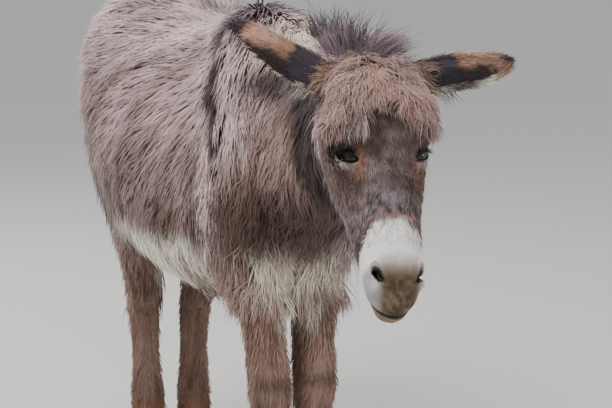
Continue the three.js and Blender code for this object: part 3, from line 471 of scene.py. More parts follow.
def ear_colour(a, side, thin, curl):
    """An ear's colour: a tan back with a wide blue-black band near the root that runs on into a dark lower
    edge, a dark tip, and a cream hollow."""
    t = a.ear_t[side] + 0.02 * mottle(a.q, 0.02, 10) + 0.02 * curl
    low = a.ear_low[side] + 0.005 * curl
    outer = mix(EAR_TAN * 0.55, EAR_TAN * [1.35, 1.28, 1.2], np.clip(0.5 + 0.7 * thin + 0.3 * curl, 0, 1))
    outer = mix(outer, CREAM * 0.8, 0.35 * hill(t, 0.62, 0.25) * ramp(-low, 0.0, 0.02))
    outer = mix(outer, RUST, 0.5 * ramp(0.14 - t, -0.04, 0.04))
    outer = mix(outer, RUST * 0.75, 0.6 * hill(t, 0.46, 0.10))
    edge = ramp(low, 0.019, 0.028) * ramp(t, 0.30, 0.42)
    band = ramp(t, 0.13, 0.18) * ramp(0.44 - t, 0, 0.06)
    outer = mix(outer, EAR_BLACK, np.maximum(ramp(t, 0.80, 0.90), edge))
    outer = mix(outer, EAR_BLUE * (1 + 0.5 * thin)[:, None], 0.95 * band)
    hollow = mix(mix(CREAM, RUST * 0.8, ramp(t, 0.70, 0.84)), EAR_BLACK, ramp(t, 0.90, 0.97))
    return mix(outer, hollow, ramp(a.ear_in[side], 0.15, 0.5))


# ---------------------------------------------------------------- coat: depth, lie and size


def coat_depth(a):
    """How far the skin lies inside the tips of the coat."""
    d = 0.017 + 0.010 * a.belly + 0.006 * a.chest
    d = mix(d, 0.015, a.neck)
    d = mix(d, mix(0.006, 0.010, ramp(a.z, 0.34, 0.5)), a.legs)
    d = mix(d, mix(0.006, 0.014, ramp(-a.z, -0.68, -0.55)), a.tail)
    face = mix(0.0035, 0.005, ramp(np.abs(a.hnormal[:, 0]), 0.4, 0.8))
    face = face + 0.004 * a.jaw
    face = mix(face, 0.013, a.mop)
    face = mix(face, 0.0010, a.muzzle)
    d = mix(d, face, a.head)
    return mix(d, 0.0014, a.ears)


def coat_lie(a):
    """The way the hair lies, along the skin: backwards and steeper the lower it is on the body, forwards
    under the flank, down the legs and tail, down the face, out from the poll in the mop, and from root to
    tip on the ears."""
    side = np.sign(a.x) * ramp(np.abs(a.x), 0, 0.05)
    steep = mix(24.0, 74.0, ramp(-a.z, -1.04, -0.66))
    steep = steep + 30 * ramp(-a.y, -0.10, 0.05) * ramp(1.05 - a.z, 0, 0.1)
    steep = mix(np.minimum(steep, 84), 72.0, np.maximum(a.neck, ramp(a.y, 0.62, 0.8)))
    steep = np.radians(steep + 13 * mottle(a.q, 0.16, 11))
    d = np.stack([0.35 * side * ramp(a.n[:, 2], 0.2, 0.8), np.cos(steep), -np.sin(steep)], 1)
    # Over the shoulder the hair follows the dark stripe.
    before = ramp(stripe_line(a.z) + 0.035 - a.y, 0, 0.04) * ramp(a.y, -0.24, -0.14) * ramp(a.z, 0.72, 0.84)
    d = mix(d, np.array([0, -0.42, -1.0]), before * (1 - a.head))
    flank = ramp(-a.z, -0.66, -0.60) * ramp(a.y, 0.05, 0.15) * ramp(0.62 - a.y, 0, 0.1)
    d = mix(d, np.array([0, -0.45, -1.0]), flank)
    d = mix(d, np.array([0, 0.25, -1.0]), a.chest)
    d = mix(d, np.array([0, 0.12, -1.0]), np.maximum(a.legs, a.tail))
    sx = np.sign(a.hx) * ramp(np.abs(a.hx), 0, 0.04)
    face = np.stack([0.28 * sx, np.ones_like(sx), -0.25 * ramp(-a.hn, 0.02, 0.08)], 1)
    poll = np.stack([(a.hx + 0.005) * 0.95, a.hs + 0.045, np.zeros_like(sx)], 1)
    face = mix(face, unit(poll), ramp(0.17 - a.hs, 0, 0.05) * ramp(a.hnormal[:, 2], -0.1, 0.45))
    d = mix(d, face @ HEAD_AXES, a.head)
    for s in (1, -1):
        out = unit(EARS[s]["way"]) @ HEAD_AXES
        d = mix(d, np.broadcast_to(out, d.shape), a.ear[s])
    unruly = np.stack([mottle(a.q, 0.06, k) for k in (12, 13, 14)], 1)
    d = d + mix(0.20, 0.45, a.head * (1 - a.mop))[:, None] * unruly
    return unit(d - a.n * dots(d, a.n))


def coat_length(a):
    """The length of a tuft, from root to tip."""
    length = 0.060 + 0.012 * a.belly + 0.016 * a.chest
    length = mix(length, 0.048, a.neck)
    length = mix(length, mix(0.020, 0.034, ramp(a.z, 0.34, 0.52)) + 0.008 * hill(a.z, 0.1, 0.06), a.legs)
    length = mix(length, 0.024, a.tail)
    face = mix(0.012, 0.017, ramp(np.abs(a.hnormal[:, 0]), 0.4, 0.8)) + 0.010 * a.jaw
    face = mix(face, 0.046, a.mop)
    face = mix(face, 0.0060, a.muzzle)
    length = mix(length, face, a.head)
    return mix(length, 0.012 + 0.008 * a.ear_hollow(), a.ears)


# ---------------------------------------------------------------- meshes


def new_object(name, verts, faces):
    """A smooth mesh object at the origin from an array of corners and an array of triangles or quads."""
    me = bpy.data.meshes.new(name)
    count, sides = faces.shape
    me.vertices.add(len(verts))
    me.vertices.foreach_set("co", np.ascontiguousarray(verts, np.float32).ravel())
    me.loops.add(count * sides)
    me.loops.foreach_set("vertex_index", np.ascontiguousarray(faces, np.int32).ravel())
    me.polygons.add(count)
    me.polygons.foreach_set("loop_start", np.arange(0, count * sides, sides, dtype=np.int32))
    me.polygons.foreach_set("use_smooth", np.full(count, True))
    me.update(calc_edges=True)
    obj = bpy.data.objects.new(name, me)
    bpy.context.scene.collection.objects.link(obj)
    return obj


def read(me, what="co"):
    """The corners or the normals of a mesh as an array."""
    source, key = (me.vertices, "co") if what == "co" else (me.vertex_normals, "vector")
    out = np.empty(len(me.vertices) * 3, np.float32)
    source.foreach_get(key, out)
    return out.reshape(-1, 3).astype(float)


def placed(me):
    """Where each corner of a mesh lies on the animal."""
    return Place(read(me), read(me, "normal"))


def triangles(me):
    """The corners' numbers of each triangle of a mesh."""
    me.calc_loop_triangles()
    out = np.empty(len(me.loop_triangles) * 3, np.int32)
    me.loop_triangles.foreach_get("vertices", out)
    return out.reshape(-1, 3)


def paint(me, name, rgb):
    """Stores a linear colour for each vertex."""
    layer = me.color_attributes.new(name, "FLOAT_COLOR", "POINT")
    layer.data.foreach_set("color", np.c_[rgb, np.ones(len(rgb))].astype(np.float32).ravel())


def evaluated(obj):
    """Replaces an object's mesh by what its modifiers make of it."""
    graph = bpy.context.evaluated_depsgraph_get()
    made = bpy.data.meshes.new_from_object(obj.evaluated_get(graph))
    obj.modifiers.clear()
    obj.data = made


def weigh(obj, name, weights, steps=20):
    """Adds a vertex group whose weights are rounded to a few steps."""
    group = obj.vertex_groups.new(name=name)
    level = np.rint(np.clip(weights, 0, 1) * steps).astype(int)
    for k in np.unique(level):
        if k:
            group.add(np.flatnonzero(level == k).tolist(), k / steps, "REPLACE")


def smooth(obj, name, weights, times):
    """Smooths a mesh a number of times, each corner as much as its weight says."""
    weigh(obj, name, weights)
    mod = obj.modifiers.new(name, "SMOOTH")
    mod.factor = 0.5
    mod.iterations = times
    mod.vertex_group = name
    evaluated(obj)
    obj.vertex_groups.clear()


def grid_faces(rows, columns):
    """Quads of a grid of points in row order, whose columns close into a ring."""
    i, j = np.meshgrid(np.arange(rows - 1), np.arange(columns), indexing="ij")
    k = (j + 1) % columns
    quads = [i * columns + j, i * columns + k, (i + 1) * columns + k, (i + 1) * columns + j]
    return np.stack(quads, -1).reshape(-1, 4)


def finish_piece(obj, material, slot, *nodes):
    """Gives a piece its material, the body it rides on and the nodes it stands for. Its slot is not used."""
    obj.data.materials.clear()
    obj.data.materials.append(material)
    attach(obj, BODY)
    if nodes:
        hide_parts(*nodes)
    return obj


# ---------------------------------------------------------------- skin

VOXEL = 0.0027
LID_SKIN = 0.0026
OVERLAP = 0.0009  # how far each node of flesh is grown into its neighbours
SMOOTHINGS, THEIR_VOXEL = 180, 0.0032  # that many for this voxel, and more for a finer one


def flesh_source():
    """One object of all flesh nodes, each grown a little along its normals so that the cuts between them
    overlap, and the eyes grown by the thickness of the lids."""
    verts, faces, start = [], [], 0
    for name in FLESH + ["eye_left", "eye_right"]:
        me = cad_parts[name].data
        keys, back = np.unique(np.round(read(me), 6), axis=0, return_inverse=True)
        tri = back.reshape(-1)[triangles(me)]
        cross = np.cross(keys[tri[:, 1]] - keys[tri[:, 0]], keys[tri[:, 2]] - keys[tri[:, 0]])
        sums = [np.bincount(tri.ravel(), np.repeat(cross[:, k], 3), len(keys)) for k in range(3)]
        out = LID_SKIN if name.startswith("eye") else OVERLAP
        verts.append(keys + unit(np.stack(sums, 1)) * out)
        faces.append(tri + start)
        start += len(keys)
    return new_object("donkey_skin", np.concatenate(verts), np.concatenate(faces))


def eye_frame(side):
    """The eye's centre and its three ways in head space: along the lids to the inner corner, across the
    lids upwards, and out."""
    flip = np.array([side, 1, 1])
    out = unit(EYE_LOOK * flip)
    down = unit(np.array([0, 1.0, 0]) - out * out[1])
    inward = np.cross(down, out) * -side
    along = inward * math.cos(LIDS_SLOPE) + down * math.sin(LIDS_SLOPE)
    across = np.cross(out, along)
    across = across * (-1 if across[1] > 0 else 1)
    return EYE_AT * flip + [EYES_MIDDLE, 0, 0], along, across, out


def eye_place(a, side):
    """How far each point lies from the eye's centre along the lids, across them and out."""
    centre, along, across, out = eye_frame(side)
    rel = a.h - centre
    return rel @ along, rel @ across, rel @ out


ALMOND_HALF = 0.0184
ALMOND_UP, ALMOND_DOWN = 0.0082, 0.0098


def off_lids(u, v):
    """How far a place on the eye lies from the middle of the opening between the lids, 1 at its edge."""
    return np.hypot(u / ALMOND_HALF, v / np.where(v > 0, ALMOND_UP, ALMOND_DOWN))


def almond(turn):
    """The edge of the opening between the lids: a wide flat arc above and a deeper one below."""
    c, s = np.cos(turn), np.sin(turn)
    return ALMOND_HALF * c, np.where(s > 0, ALMOND_UP, ALMOND_DOWN) * s * (1 - 0.25 * c * c)


def lid_line(side, turn, lift):
    """Points in head space on the edge of the lids' opening, lifted a little off the eyeball."""
    centre, along, across, out = eye_frame(side)
    e, f = almond(turn)
    height = np.sqrt((EYE_RADIUS + lift) ** 2 - e**2 - f**2)
    return centre + e[:, None] * along + f[:, None] * across + height[:, None] * out


def bump_at(a, x, s, wide, tall):
    """A round rise of height 1 on both halves of the face, at a distance off the nose and down the face."""
    return blob(a.off_nose - x, a.hs - s, wide, tall)


def carve(a, p, n):
    """Moves the skin's points: the pit of each nostril with its raised wing, the swelling round it, the lips
    with the line of the mouth, the opening between the lids with the brow over it and the fold under it, the
    crease of the shoulder, and the right ear's edge."""
    move = np.zeros(len(p))
    front = a.head * ramp(a.hn, -0.05, -0.02)
    swelling = 0.0055 * bump_at(a, 0.036, 0.420, 0.016, 0.026)
    move += front * (swelling - 0.0030 * bump_at(a, 0.034, 0.372, 0.02, 0.018))
    move -= front * 0.0030 * bump_at(a, 0.0, 0.445, 0.008, 0.022)
    groove = np.exp(-(((a.hs - 0.392 - 0.8 * (a.off_nose - 0.043)) / 0.0030) ** 2))
    move -= front * 0.0022 * groove * bump_at(a, 0.043, 0.393, 0.006, 0.02)
    for side in (1, -1):
        slit, outwards, down = nostril(a, side)
        wing = 0.6 + 0.6 * ramp(outwards, -0.002, 0.008)
        move += 0.0032 * wing * hill(slit, 1.38, 0.55) - 0.0115 * ramp(-slit, -1.0, -0.6)
        u, v, w = eye_place(a, side)
        edge = off_lids(u, v)
        facing = (w > 0) * (np.hypot(u, v) < 0.05) * a.head
        move -= facing * 0.012 * ramp(-edge, -1.12, -0.92)
        move += facing * 0.0016 * hill(edge, 1.45, 0.4)
        below = ramp(-v, 0.004, 0.010)
        move -= facing * below * (0.0016 * hill(np.hypot(u / 0.026, v / 0.0165), 1, 0.14))
        move += facing * 0.0030 * ramp(v, 0.008, 0.014) * hill(v, 0.019, 0.010) * hill(u, 0, 0.03)
    mouth = a.head * ramp(a.hs, 0.375, 0.41) * (a.hn > -0.12)
    move -= mouth * 0.0050 * hill(a.lip, 0, 0.0055)
    move -= mouth * 0.0020 * ramp(-a.lip, 0.0, 0.008)
    move += mouth * 0.0015 * hill(a.lip, 0.012, 0.010)
    # A bony crest under each eye runs towards the mouth.
    crest_line = a.hn + 0.045 + 0.10 * (a.hs - 0.24)
    move += a.head * 0.0028 * np.exp(-((crest_line / 0.009) ** 2)) * hill(a.hs, 0.275, 0.07)
    crease = a.y - fold_line(a.z)
    high = hill(a.z, 0.70, 0.16) * a.trunk
    move += high * (0.008 * hill(crease, 0.022, 0.022) - 0.011 * hill(crease, -0.004, 0.014))
    move -= a.head * 0.004 * ramp(a.hs, 0.41, 0.46) * ramp(a.hx, 0.0, 0.05)
    # The right ear narrows towards its tip along its upper edge.
    shift = np.where(a.ear_low[-1] < 0, -a.ear_low[-1], 0) * 0.34 * hill(a.ear_t[-1], 0.58, 0.40) * a.ear[-1]
    _, _, across = ear_frame(-1, np.clip(a.ear_t[-1], 0, 1))
    return p + n * move[:, None] - (across * shift[:, None]) @ HEAD_AXES


def make_skin(voxel, faces_wanted):
    """The skin: the grown flesh as one closed voxel surface, smoothed more where the solids' faces are
    larger, drawn in by the coat's depth, carved, and thinned out except on the head."""
    obj = flesh_source()
    mod = obj.modifiers.new("voxels", "REMESH")
    mod.mode = "VOXEL"
    mod.voxel_size = voxel
    evaluated(obj)
    a = placed(obj.data)
    soft = np.ones(len(a.p))
    soft = mix(soft, mix(0.10, 0.5, ramp(a.z, 0.34, 0.5)), a.legs)
    soft = mix(soft, 0.10, a.tail)
    soft = mix(soft, mix(0.16, 0.05, a.muzzle), a.head)
    soft = mix(soft, 0.03, a.ears)
    smooth(obj, "soft", soft, int(round(SMOOTHINGS * (THEIR_VOXEL / voxel) ** 2)))
    a = placed(obj.data)
    p = carve(a, a.p - a.n * coat_depth(a)[:, None], a.n)
    obj.data.vertices.foreach_set("co", p.astype(np.float32).ravel())
    obj.data.update()
    a = Place(p, read(obj.data, "normal"))
    smooth(obj, "ease", np.clip(1 - 0.7 * a.head, 0, 1), 4)
    a = placed(obj.data)
    weigh(obj, "thin", np.clip(1 - 0.93 * a.head - 0.5 * a.legs, 0.02, 1))
    mod = obj.modifiers.new("thin", "DECIMATE")
    mod.ratio = faces_wanted / (2 * len(obj.data.polygons))
    mod.vertex_group = "thin"
    mod.vertex_group_factor = 1.0
    mod.use_collapse_triangulate = True
    evaluated(obj)
    obj.vertex_groups.clear()
    return obj


class Skin:
    """The skin's triangles, ready for roots to be scattered over them."""

    def __init__(self, obj):
        me = obj.data
        self.co, self.no = read(me), read(me, "normal")
        self.tri = triangles(me)
        c = self.co[self.tri]
        cross = np.cross(c[:, 1] - c[:, 0], c[:, 2] - c[:, 0])
        self.area = np.linalg.norm(cross, axis=1) / 2
        self.middle = Place(c.mean(1), unit(cross))
        self.tree = KDTree(len(self.co))
        for k, spot in enumerate(self.co):
            self.tree.insert(spot, k)
        self.tree.balance()

    def bend(self, a, lie, length):
        """How far the skin stands over, or lies under, the plane through each root, a tuft's length on."""
        ends = a.p + lie * length[:, None]
        near = np.array([self.tree.find(end)[1] for end in ends])
        normal = self.no[near]
        rise = np.sum((self.co[near] - ends) * normal, 1) / np.maximum(np.sum(normal * a.n, 1), 0.35)
        return np.clip(rise, -0.6 * length, 0.08 * length)

    def scatter(self, weight, count, rng):
        """count roots, their chance in proportion to area times weight, evenly spread along the running
        total so that they clot less than by chance alone."""
        chance = np.cumsum(self.area * weight)
        pick = np.searchsorted(chance, (np.arange(count) + rng.random(count)) / count * chance[-1])
        pick = np.minimum(pick, len(self.tri) - 1)
        u, v = rng.random(count), rng.random(count)
        flip = u + v > 1
        u[flip], v[flip] = 1 - u[flip], 1 - v[flip]
        w = np.stack([1 - u - v, u, v], 1)[:, :, None]
        t = self.tri[pick]
        return Place((self.co[t] * w).sum(1), unit((self.no[t] * w).sum(1)))


# ---------------------------------------------------------------- tufts

SINK = 0.0012  # how far a root lies under the skin
THIRDS = (90, 330, 210)  # a tuft's three sides, in the order that turns its faces outward
SOFT = 0.55  # how much of a tuft's own roundness its shading shows
HALF_WIDE = 0.58  # a ring's reach across, as a share of the tuft's width
PATCH = 0.003
MARGIN, SPREAD = 0.003, 0.994  # the patches keep off the edges of the map


def clumps(p, size, seed):
    """For each point, the nearest of many jittered lattice points about size apart, and that one's number."""
    cell = np.floor(p / size)
    best = np.full(len(p), np.inf)
    centre = np.zeros_like(p)
    number = np.zeros(len(p))
    for i in (-1, 0, 1):
        for j in (-1, 0, 1):
            for k in (-1, 0, 1):
                c = cell + np.array([i, j, k])
                spot = np.stack([hashed(c, seed + m) for m in range(3)], 1)
                at = (c + spot) * size
                far = np.sum((at - p) ** 2, 1)
                closer = far < best
                best[closer] = far[closer]
                centre[closer] = at[closer]
                number[closer] = hashed(c, seed + 7)[closer]
    return centre, number


def coat_at(a, lie, length, reach=0.9):
    """The coat's colour under each tuft's root, middle and tip: it is asked for at 0.1, 0.5 and 1 times the
    reach, in lengths on from the root."""
    steps = [coat_colour(Place(a.p + lie * (length * reach * k)[:, None], a.n), lie) for k in (0.1, 0.5, 1.0)]
    return np.stack(steps, 1)


def spike_faces(rings):
    """The triangles of one closed spike and the patch place of each of their corners: a base, three sided
    rings and a tip. Returns vertex numbers and (u, v) per corner, v running from root to tip."""
    faces, places = [], []
    level = 0.1 + 0.9 * np.arange(rings + 1) / rings
    faces.append([0, 2, 1])
    places.append([(0, 0.0), (1.0, 0.0), (0.5, 0.1)])
    for k in range(rings):
        for s in range(3):
            b, t = 3 * k + s, 3 * k + (s + 1) % 3
            u0, u1 = s / 3, (s + 1) / 3
            if k < rings - 1:
                faces += [[b, t, t + 3], [b, t + 3, b + 3]]
                places += [[(u0, level[k]), (u1, level[k]), (u1, level[k + 1])]]
                places += [[(u0, level[k]), (u1, level[k + 1]), (u0, level[k + 1])]]
            else:
                faces.append([b, t, 3 * rings])
                places.append([(u0, level[k]), (u1, level[k]), ((u0 + u1) / 2, level[k + 1])])
    return np.array(faces), np.array(places)


def in_corner_order(thirds, tips):
    """Rows for each corner of each tuft, in the order of spike_faces, from its three sides and its tip."""
    rows = np.stack(thirds, 2)[:-1].transpose(1, 0, 2, 3)
    return np.concatenate([rows.reshape(len(rows), -1, 3), tips[:, None]], 1)


def tufts(
    name,
    a,
    lie,
    length,
    width,
    root_angle,
    tip_angle,
    colour,
    uv,
    rng,
    rings=2,
    pull=0.5,
    clump=0.02,
    curl=0.05,
    turns=5.0,
    fall=0.0,
    wander=10.0,
    flat=0.4,
    light=1.25,
    dark=0.6,
    sunk=SINK,
    strays=0.02,
    vary=0.12,
    bend=0.0,
):
    """A piece of coat: one closed spike from each root.

    The middle line starts at the root and climbs at the root angle, which turns into the tip angle: with
    angle A(t), height is the integral of L sin A and run the integral of L cos A along the lie. To it come
    a sideways wave, a fall and the skin's own bend, which grow with t squared, and a pull of the tip sideways
    towards the middle of the tuft's clump. A few strays are longer and stand higher. Rings of three points
    stand square to that line and shrink towards the tip. Each tuft has one colour, or three from root to tip.
    Its normals are its own: they follow the skin more than its three sides.
    """
    count = len(a.p)
    centre, number = clumps(a.p, clump, int(rng.integers(1 << 30)))
    second = (number * 7.31) % 1.0
    each = lambda: rng.standard_normal(count)
    swing = np.radians(wander) * (each() * 0.55 + 2.4 * (number - 0.5))
    side = np.cross(a.n, lie)
    way = lie * np.cos(swing)[:, None] + side * np.sin(swing)[:, None]
    side = np.cross(a.n, way)
    stray = rng.random(count) < strays
    length = length * (1 + 0.15 * each()).clip(0.55, 1.5) * (0.84 + 0.32 * second)
    length = length * np.where(stray, 1.35, 1.0)
    width = width * (1 + 0.2 * each()).clip(0.5, 1.6) * np.where(stray, 0.6, 1.0)
    a0 = np.radians(root_angle * (1 + 0.15 * each() + 0.35 * (second - 0.5)) * np.where(stray, 1.3, 1.0))
    a1 = np.radians(tip_angle + 4 * each() + np.where(stray, 8, 0))
    towards = centre - a.p
    towards = side * dots(towards, side) + 0.25 * way * dots(towards, way)
    phase = rng.random(count) * 0.9 + number * 6.28
    t = np.r_[np.linspace(0, 1, rings + 1)[:-1] ** 0.9, 1.0][:, None]
    angle = a0 + (a1 - a0) * t
    turned = np.where(np.abs(a1 - a0) < 1e-3, 1e-3, a1 - a0)
    rise = length * (np.cos(a0) - np.cos(angle)) / turned
    run = length * (np.sin(angle) - np.sin(a0)) / turned
    wave = length * curl * (np.sin(phase + turns * t) - np.sin(phase)) * t
    line = a.p - a.n * sunk + a.n * rise[..., None] + way * run[..., None] + side * wave[..., None]
    line = line + towards * (pull * t**1.3)[..., None]
    line = line + a.n * (bend * t**2)[..., None]
    line[..., 2] -= fall * length * t**2
    step = np.empty_like(line)
    step[:-1] = line[1:] - line[:-1]
    step[-1] = step[-2]
    along = unit(step)
    across = unit(np.cross(along, a.n))
    thick = np.cross(across, along)
    size = width * np.interp(t[:, 0], [0, 0.35, 0.75, 1], [0.7, 1.0, 0.62, 0])[:, None]
    points, rounds = [], []
    for turn in THIRDS:
        c, s = math.cos(math.radians(turn)), math.sin(math.radians(turn))
        wide, tall = size * c * HALF_WIDE, size * s * flat
        points.append(line + across * wide[..., None] + thick * tall[..., None])
        rounds.append(across * c + thick * s)
    verts = in_corner_order(points, line[-1])
    one, places = spike_faces(rings)
    per = 3 * rings + 1
    faces = (one[None] + (np.arange(count) * per)[:, None, None]).reshape(-1, 3)
    obj = new_object(name, verts.reshape(-1, 3), faces)
    # Shading follows the skin more than the tuft's three sides, as light does that enters many fine hairs.
    slope = np.clip(2 * bend / length, -1.2, 0.6) * np.ones(count)
    out = unit(a.n[None] - way[None] * (slope * t)[..., None])
    lean = in_corner_order([unit(out + SOFT * r) for r in rounds], out[-1])
    obj.data.normals_split_custom_set_from_vertices(lean.reshape(-1, 3).astype(np.float32))
    shade = (0.90 + 0.20 * second) * (1 + vary * each()).clip(0.5, 1.8)
    level = np.r_[np.repeat(t[:-1, 0], 3), 1.0]
    tone = np.interp(level, [0, 0.45, 1], [dark, 1.0, light])
    if colour.ndim == 2:
        colour = np.repeat(colour[:, None], 3, 1)
    first = np.minimum((level * 2).astype(int), 1)
    rgb = mix(colour[:, first], colour[:, first + 1], np.broadcast_to(level * 2 - first, (count, len(level))))
    rgb = rgb * (shade[:, None] * tone[None])[..., None]
    paint(obj.data, "coat", np.clip(rgb, 0, 1).reshape(-1, 3))
    low, high = uv.min(0), uv.max(0)
    uv = MARGIN + (uv - low) / np.maximum(high - low, 1e-9) * SPREAD
    corner = uv[:, None, None, :] + (places[None] - 0.5) * PATCH
    layer = obj.data.uv_layers.new(name="OFBake")
    layer.data.foreach_set("uv", corner.astype(np.float32).ravel())
    return obj


def round_axis(along, sideways, up):
    """An unwrap round an axis: place along it, and the angle about it."""
    return np.stack([along, np.arctan2(sideways, up) / (2 * math.pi)], 1)


def trunk_unwrap(a):
    return round_axis(a.y * 0.8, a.x, a.z - 0.78)


def leg_unwrap(a):
    leg = (a.x > 0) * 1.0 + 2.0 * (a.y > 0.3)
    cy = np.where(a.y > 0.3, 0.69, -0.07)
    turn = np.arctan2(a.x - np.sign(a.x) * 0.065, a.y - cy) / (2 * math.pi) + 0.5
    return np.stack([a.z, leg + 0.96 * turn], 1)


def head_unwrap(a):
    return round_axis(a.hs, a.hx, a.hn + 0.05)


def ear_unwrap(a):
    side = np.where(a.ear[1] > a.ear[-1], 1, -1)
    t = np.where(side > 0, a.ear_t[1], a.ear_t[-1])
    inside = np.where(side > 0, a.ear_in[1], a.ear_in[-1]) > 0
    low = np.where(side > 0, a.ear_low[1], a.ear_low[-1])
    return np.stack([t, low / 0.09 + (side > 0) * 1.0 + inside * 2.0], 1)


# ---------------------------------------------------------------- materials


class Nodes:
    """A material's node tree, with one way of adding a node."""

    def __init__(self, name):
        self.material = bpy.data.materials.new(name)
        self.material.use_nodes = True
        self.tree = self.material.node_tree
        self.tree.nodes.clear()

    def add(self, kind, settings=None, values=None, links=None):
        """Adds a node of a kind, sets its own settings and its input values, and links its inputs."""
        node = self.tree.nodes.new(kind)
        for key, value in (settings or {}).items():
            setattr(node, key, value)
        for key, value in (values or {}).items():
            node.inputs[key].default_value = value
        for key, source in (links or {}).items():
            self.tree.links.new(source, node.inputs[key])
        return node

    def noise(self, scale, detail, place):
        """Noise of a scale and a detail at a place."""
        values = {"Scale": scale, "Detail": detail}
        return self.add("ShaderNodeTexNoise", values=values, links={"Vector": place})

    def bump(self, strength, distance, height):
        """Small relief that only the shading shows, from a height."""
        values = {"Strength": strength, "Distance": distance}
        return self.add("ShaderNodeBump", values=values, links={"Height": height})

    def surface(self, shader):
        self.add("ShaderNodeOutputMaterial", links={"Surface": shader.outputs[0]})
        return self.material


def hair_material(name, roughness):
    """Coarse guard hair: dull, with the soft bright edge that many fine ends give."""
    m = Nodes(name)
    colour = m.add("ShaderNodeVertexColor", {"layer_name": "coat"})
    where = m.add("ShaderNodeTexCoord")
    # Streaks about 2 mm apart stand for single hairs within a tuft.
    streak = m.noise(420.0, 2.0, where.outputs["Object"])
    tones = {"To Min": 0.72, "To Max": 1.28}
    bright = m.add("ShaderNodeMapRange", values=tones, links={"Value": streak.outputs["Fac"]})
    tint = m.add(
        "ShaderNodeVectorMath",
        {"operation": "SCALE"},
        links={"Vector": colour.outputs["Color"], "Scale": bright.outputs["Result"]},
    )
    shader = m.add(
        "ShaderNodeBsdfPrincipled",
        values={
            "Roughness": roughness,
            "IOR": 1.5,
            "Specular IOR Level": 0.25,
            "Sheen Weight": 0.15,
            "Sheen Roughness": 0.5,
        },
        links={"Base Color": tint.outputs["Vector"]},
    )
    return m.surface(shader)


def skin_material():
    """Hide under short hair: dull, finely pitted by pores and lined by small wrinkles."""
    m = Nodes("hide_under_short_hair")
    colour = m.add("ShaderNodeVertexColor", {"layer_name": "coat"})
    where = m.add("ShaderNodeTexCoord")
    pores = m.noise(520.0, 3.0, where.outputs["Object"])
    folds = m.noise(90.0, 3.0, where.outputs["Object"])
    heights = {0: folds.outputs["Fac"], 2: pores.outputs["Fac"]}
    both = m.add("ShaderNodeMath", {"operation": "MULTIPLY_ADD"}, {1: 0.6}, heights)
    bump = m.bump(0.5, 0.0012, both.outputs[0])
    shader = m.add(
        "ShaderNodeBsdfPrincipled",
        values={"Roughness": 0.72, "IOR": 1.45, "Specular IOR Level": 0.3},
        links={"Base Color": colour.outputs["Color"], "Normal": bump.outputs[0]},
    )
    return m.surface(shader)


def eye_material():
    """The wet cornea over a dark brown iris: very smooth, with a clear coat."""
    m = Nodes("wet_eye")
    colour = m.add("ShaderNodeVertexColor", {"layer_name": "coat"})
    shader = m.add(
        "ShaderNodeBsdfPrincipled",
        values={"Roughness": 0.12, "IOR": 1.376, "Coat Weight": 1.0, "Coat Roughness": 0.03},
        links={"Base Color": colour.outputs["Color"]},
    )
    return m.surface(shader)


def horn_material():
    """Dry hoof horn: dull, with fine upright fibres and level growth rings."""
    m = Nodes("dry_hoof_horn")
    where = {"Vector": m.add("ShaderNodeTexCoord").outputs["Object"]}
    stretch = m.add("ShaderNodeMapping", values={"Scale": (1.0, 1.0, 0.06)}, links=where)
    fibres = m.noise(500.0, 3.0, stretch.outputs[0])
    level = m.add("ShaderNodeMapping", values={"Scale": (0.05, 0.05, 1.0)}, links=where)
    rings = m.noise(160.0, 2.0, level.outputs[0])
    heights = {0: fibres.outputs["Fac"], 1: rings.outputs["Fac"]}
    both = m.add("ShaderNodeMath", {"operation": "ADD"}, links=heights)
    tones = m.add("ShaderNodeValToRGB", links={"Fac": both.outputs[0]})
    dark, light = tones.color_ramp.elements
    dark.position, dark.color = 0.6, (*HORN_DARK, 1)
    light.position, light.color = 1.0, (*HORN_LIGHT, 1)
    bump = m.bump(0.4, 0.0008, both.outputs[0])
    shader = m.add(
        "ShaderNodeBsdfPrincipled",
        values={"Roughness": 0.6, "IOR": 1.54},
        links={"Base Color": tones.outputs["Color"], "Normal": bump.outputs[0]},
    )
    return m.surface(shader)


def floor_material(rgb):
    """A matt painted studio floor."""
    m = Nodes("matt_floor")
    shader = m.add("ShaderNodeBsdfPrincipled", values={"Base Color": (*rgb, 1), "Roughness": 0.9})
    return m.surface(shader)


# ---------------------------------------------------------------- settings


class DonkeySkinSettings(bpy.types.PropertyGroup):
    voxel: FloatProperty(name="Voxel", description="Cell of the skin's mesh", default=VOXEL, unit="LENGTH")
    faces: IntProperty(name="Triangles", description="Triangles left in the skin", default=180000)


class DonkeyCoatSettings(bpy.types.PropertyGroup):
    tufts: IntProperty(name="Tufts", description="Tufts in each full piece of coat", default=18000)
    trunk_width: FloatProperty(
        name="Trunk tuft width", description="Width of a tuft on the trunk", default=0.0037, unit="LENGTH"
    )
    face_width: FloatProperty(
        name="Face tuft width", description="Width of a tuft on the face", default=0.0018, unit="LENGTH"
    )


class DonkeyStageSettings(bpy.types.PropertyGroup):
    floor: FloatVectorProperty(
        name="Floor", description="Colour of the floor", subtype="COLOR", default=(0.62, 0.6, 0.57)
    )
    lens: FloatProperty(name="Lens", description="Focal length in millimetres", default=141.2)


# ---------------------------------------------------------------- operators

made = {}


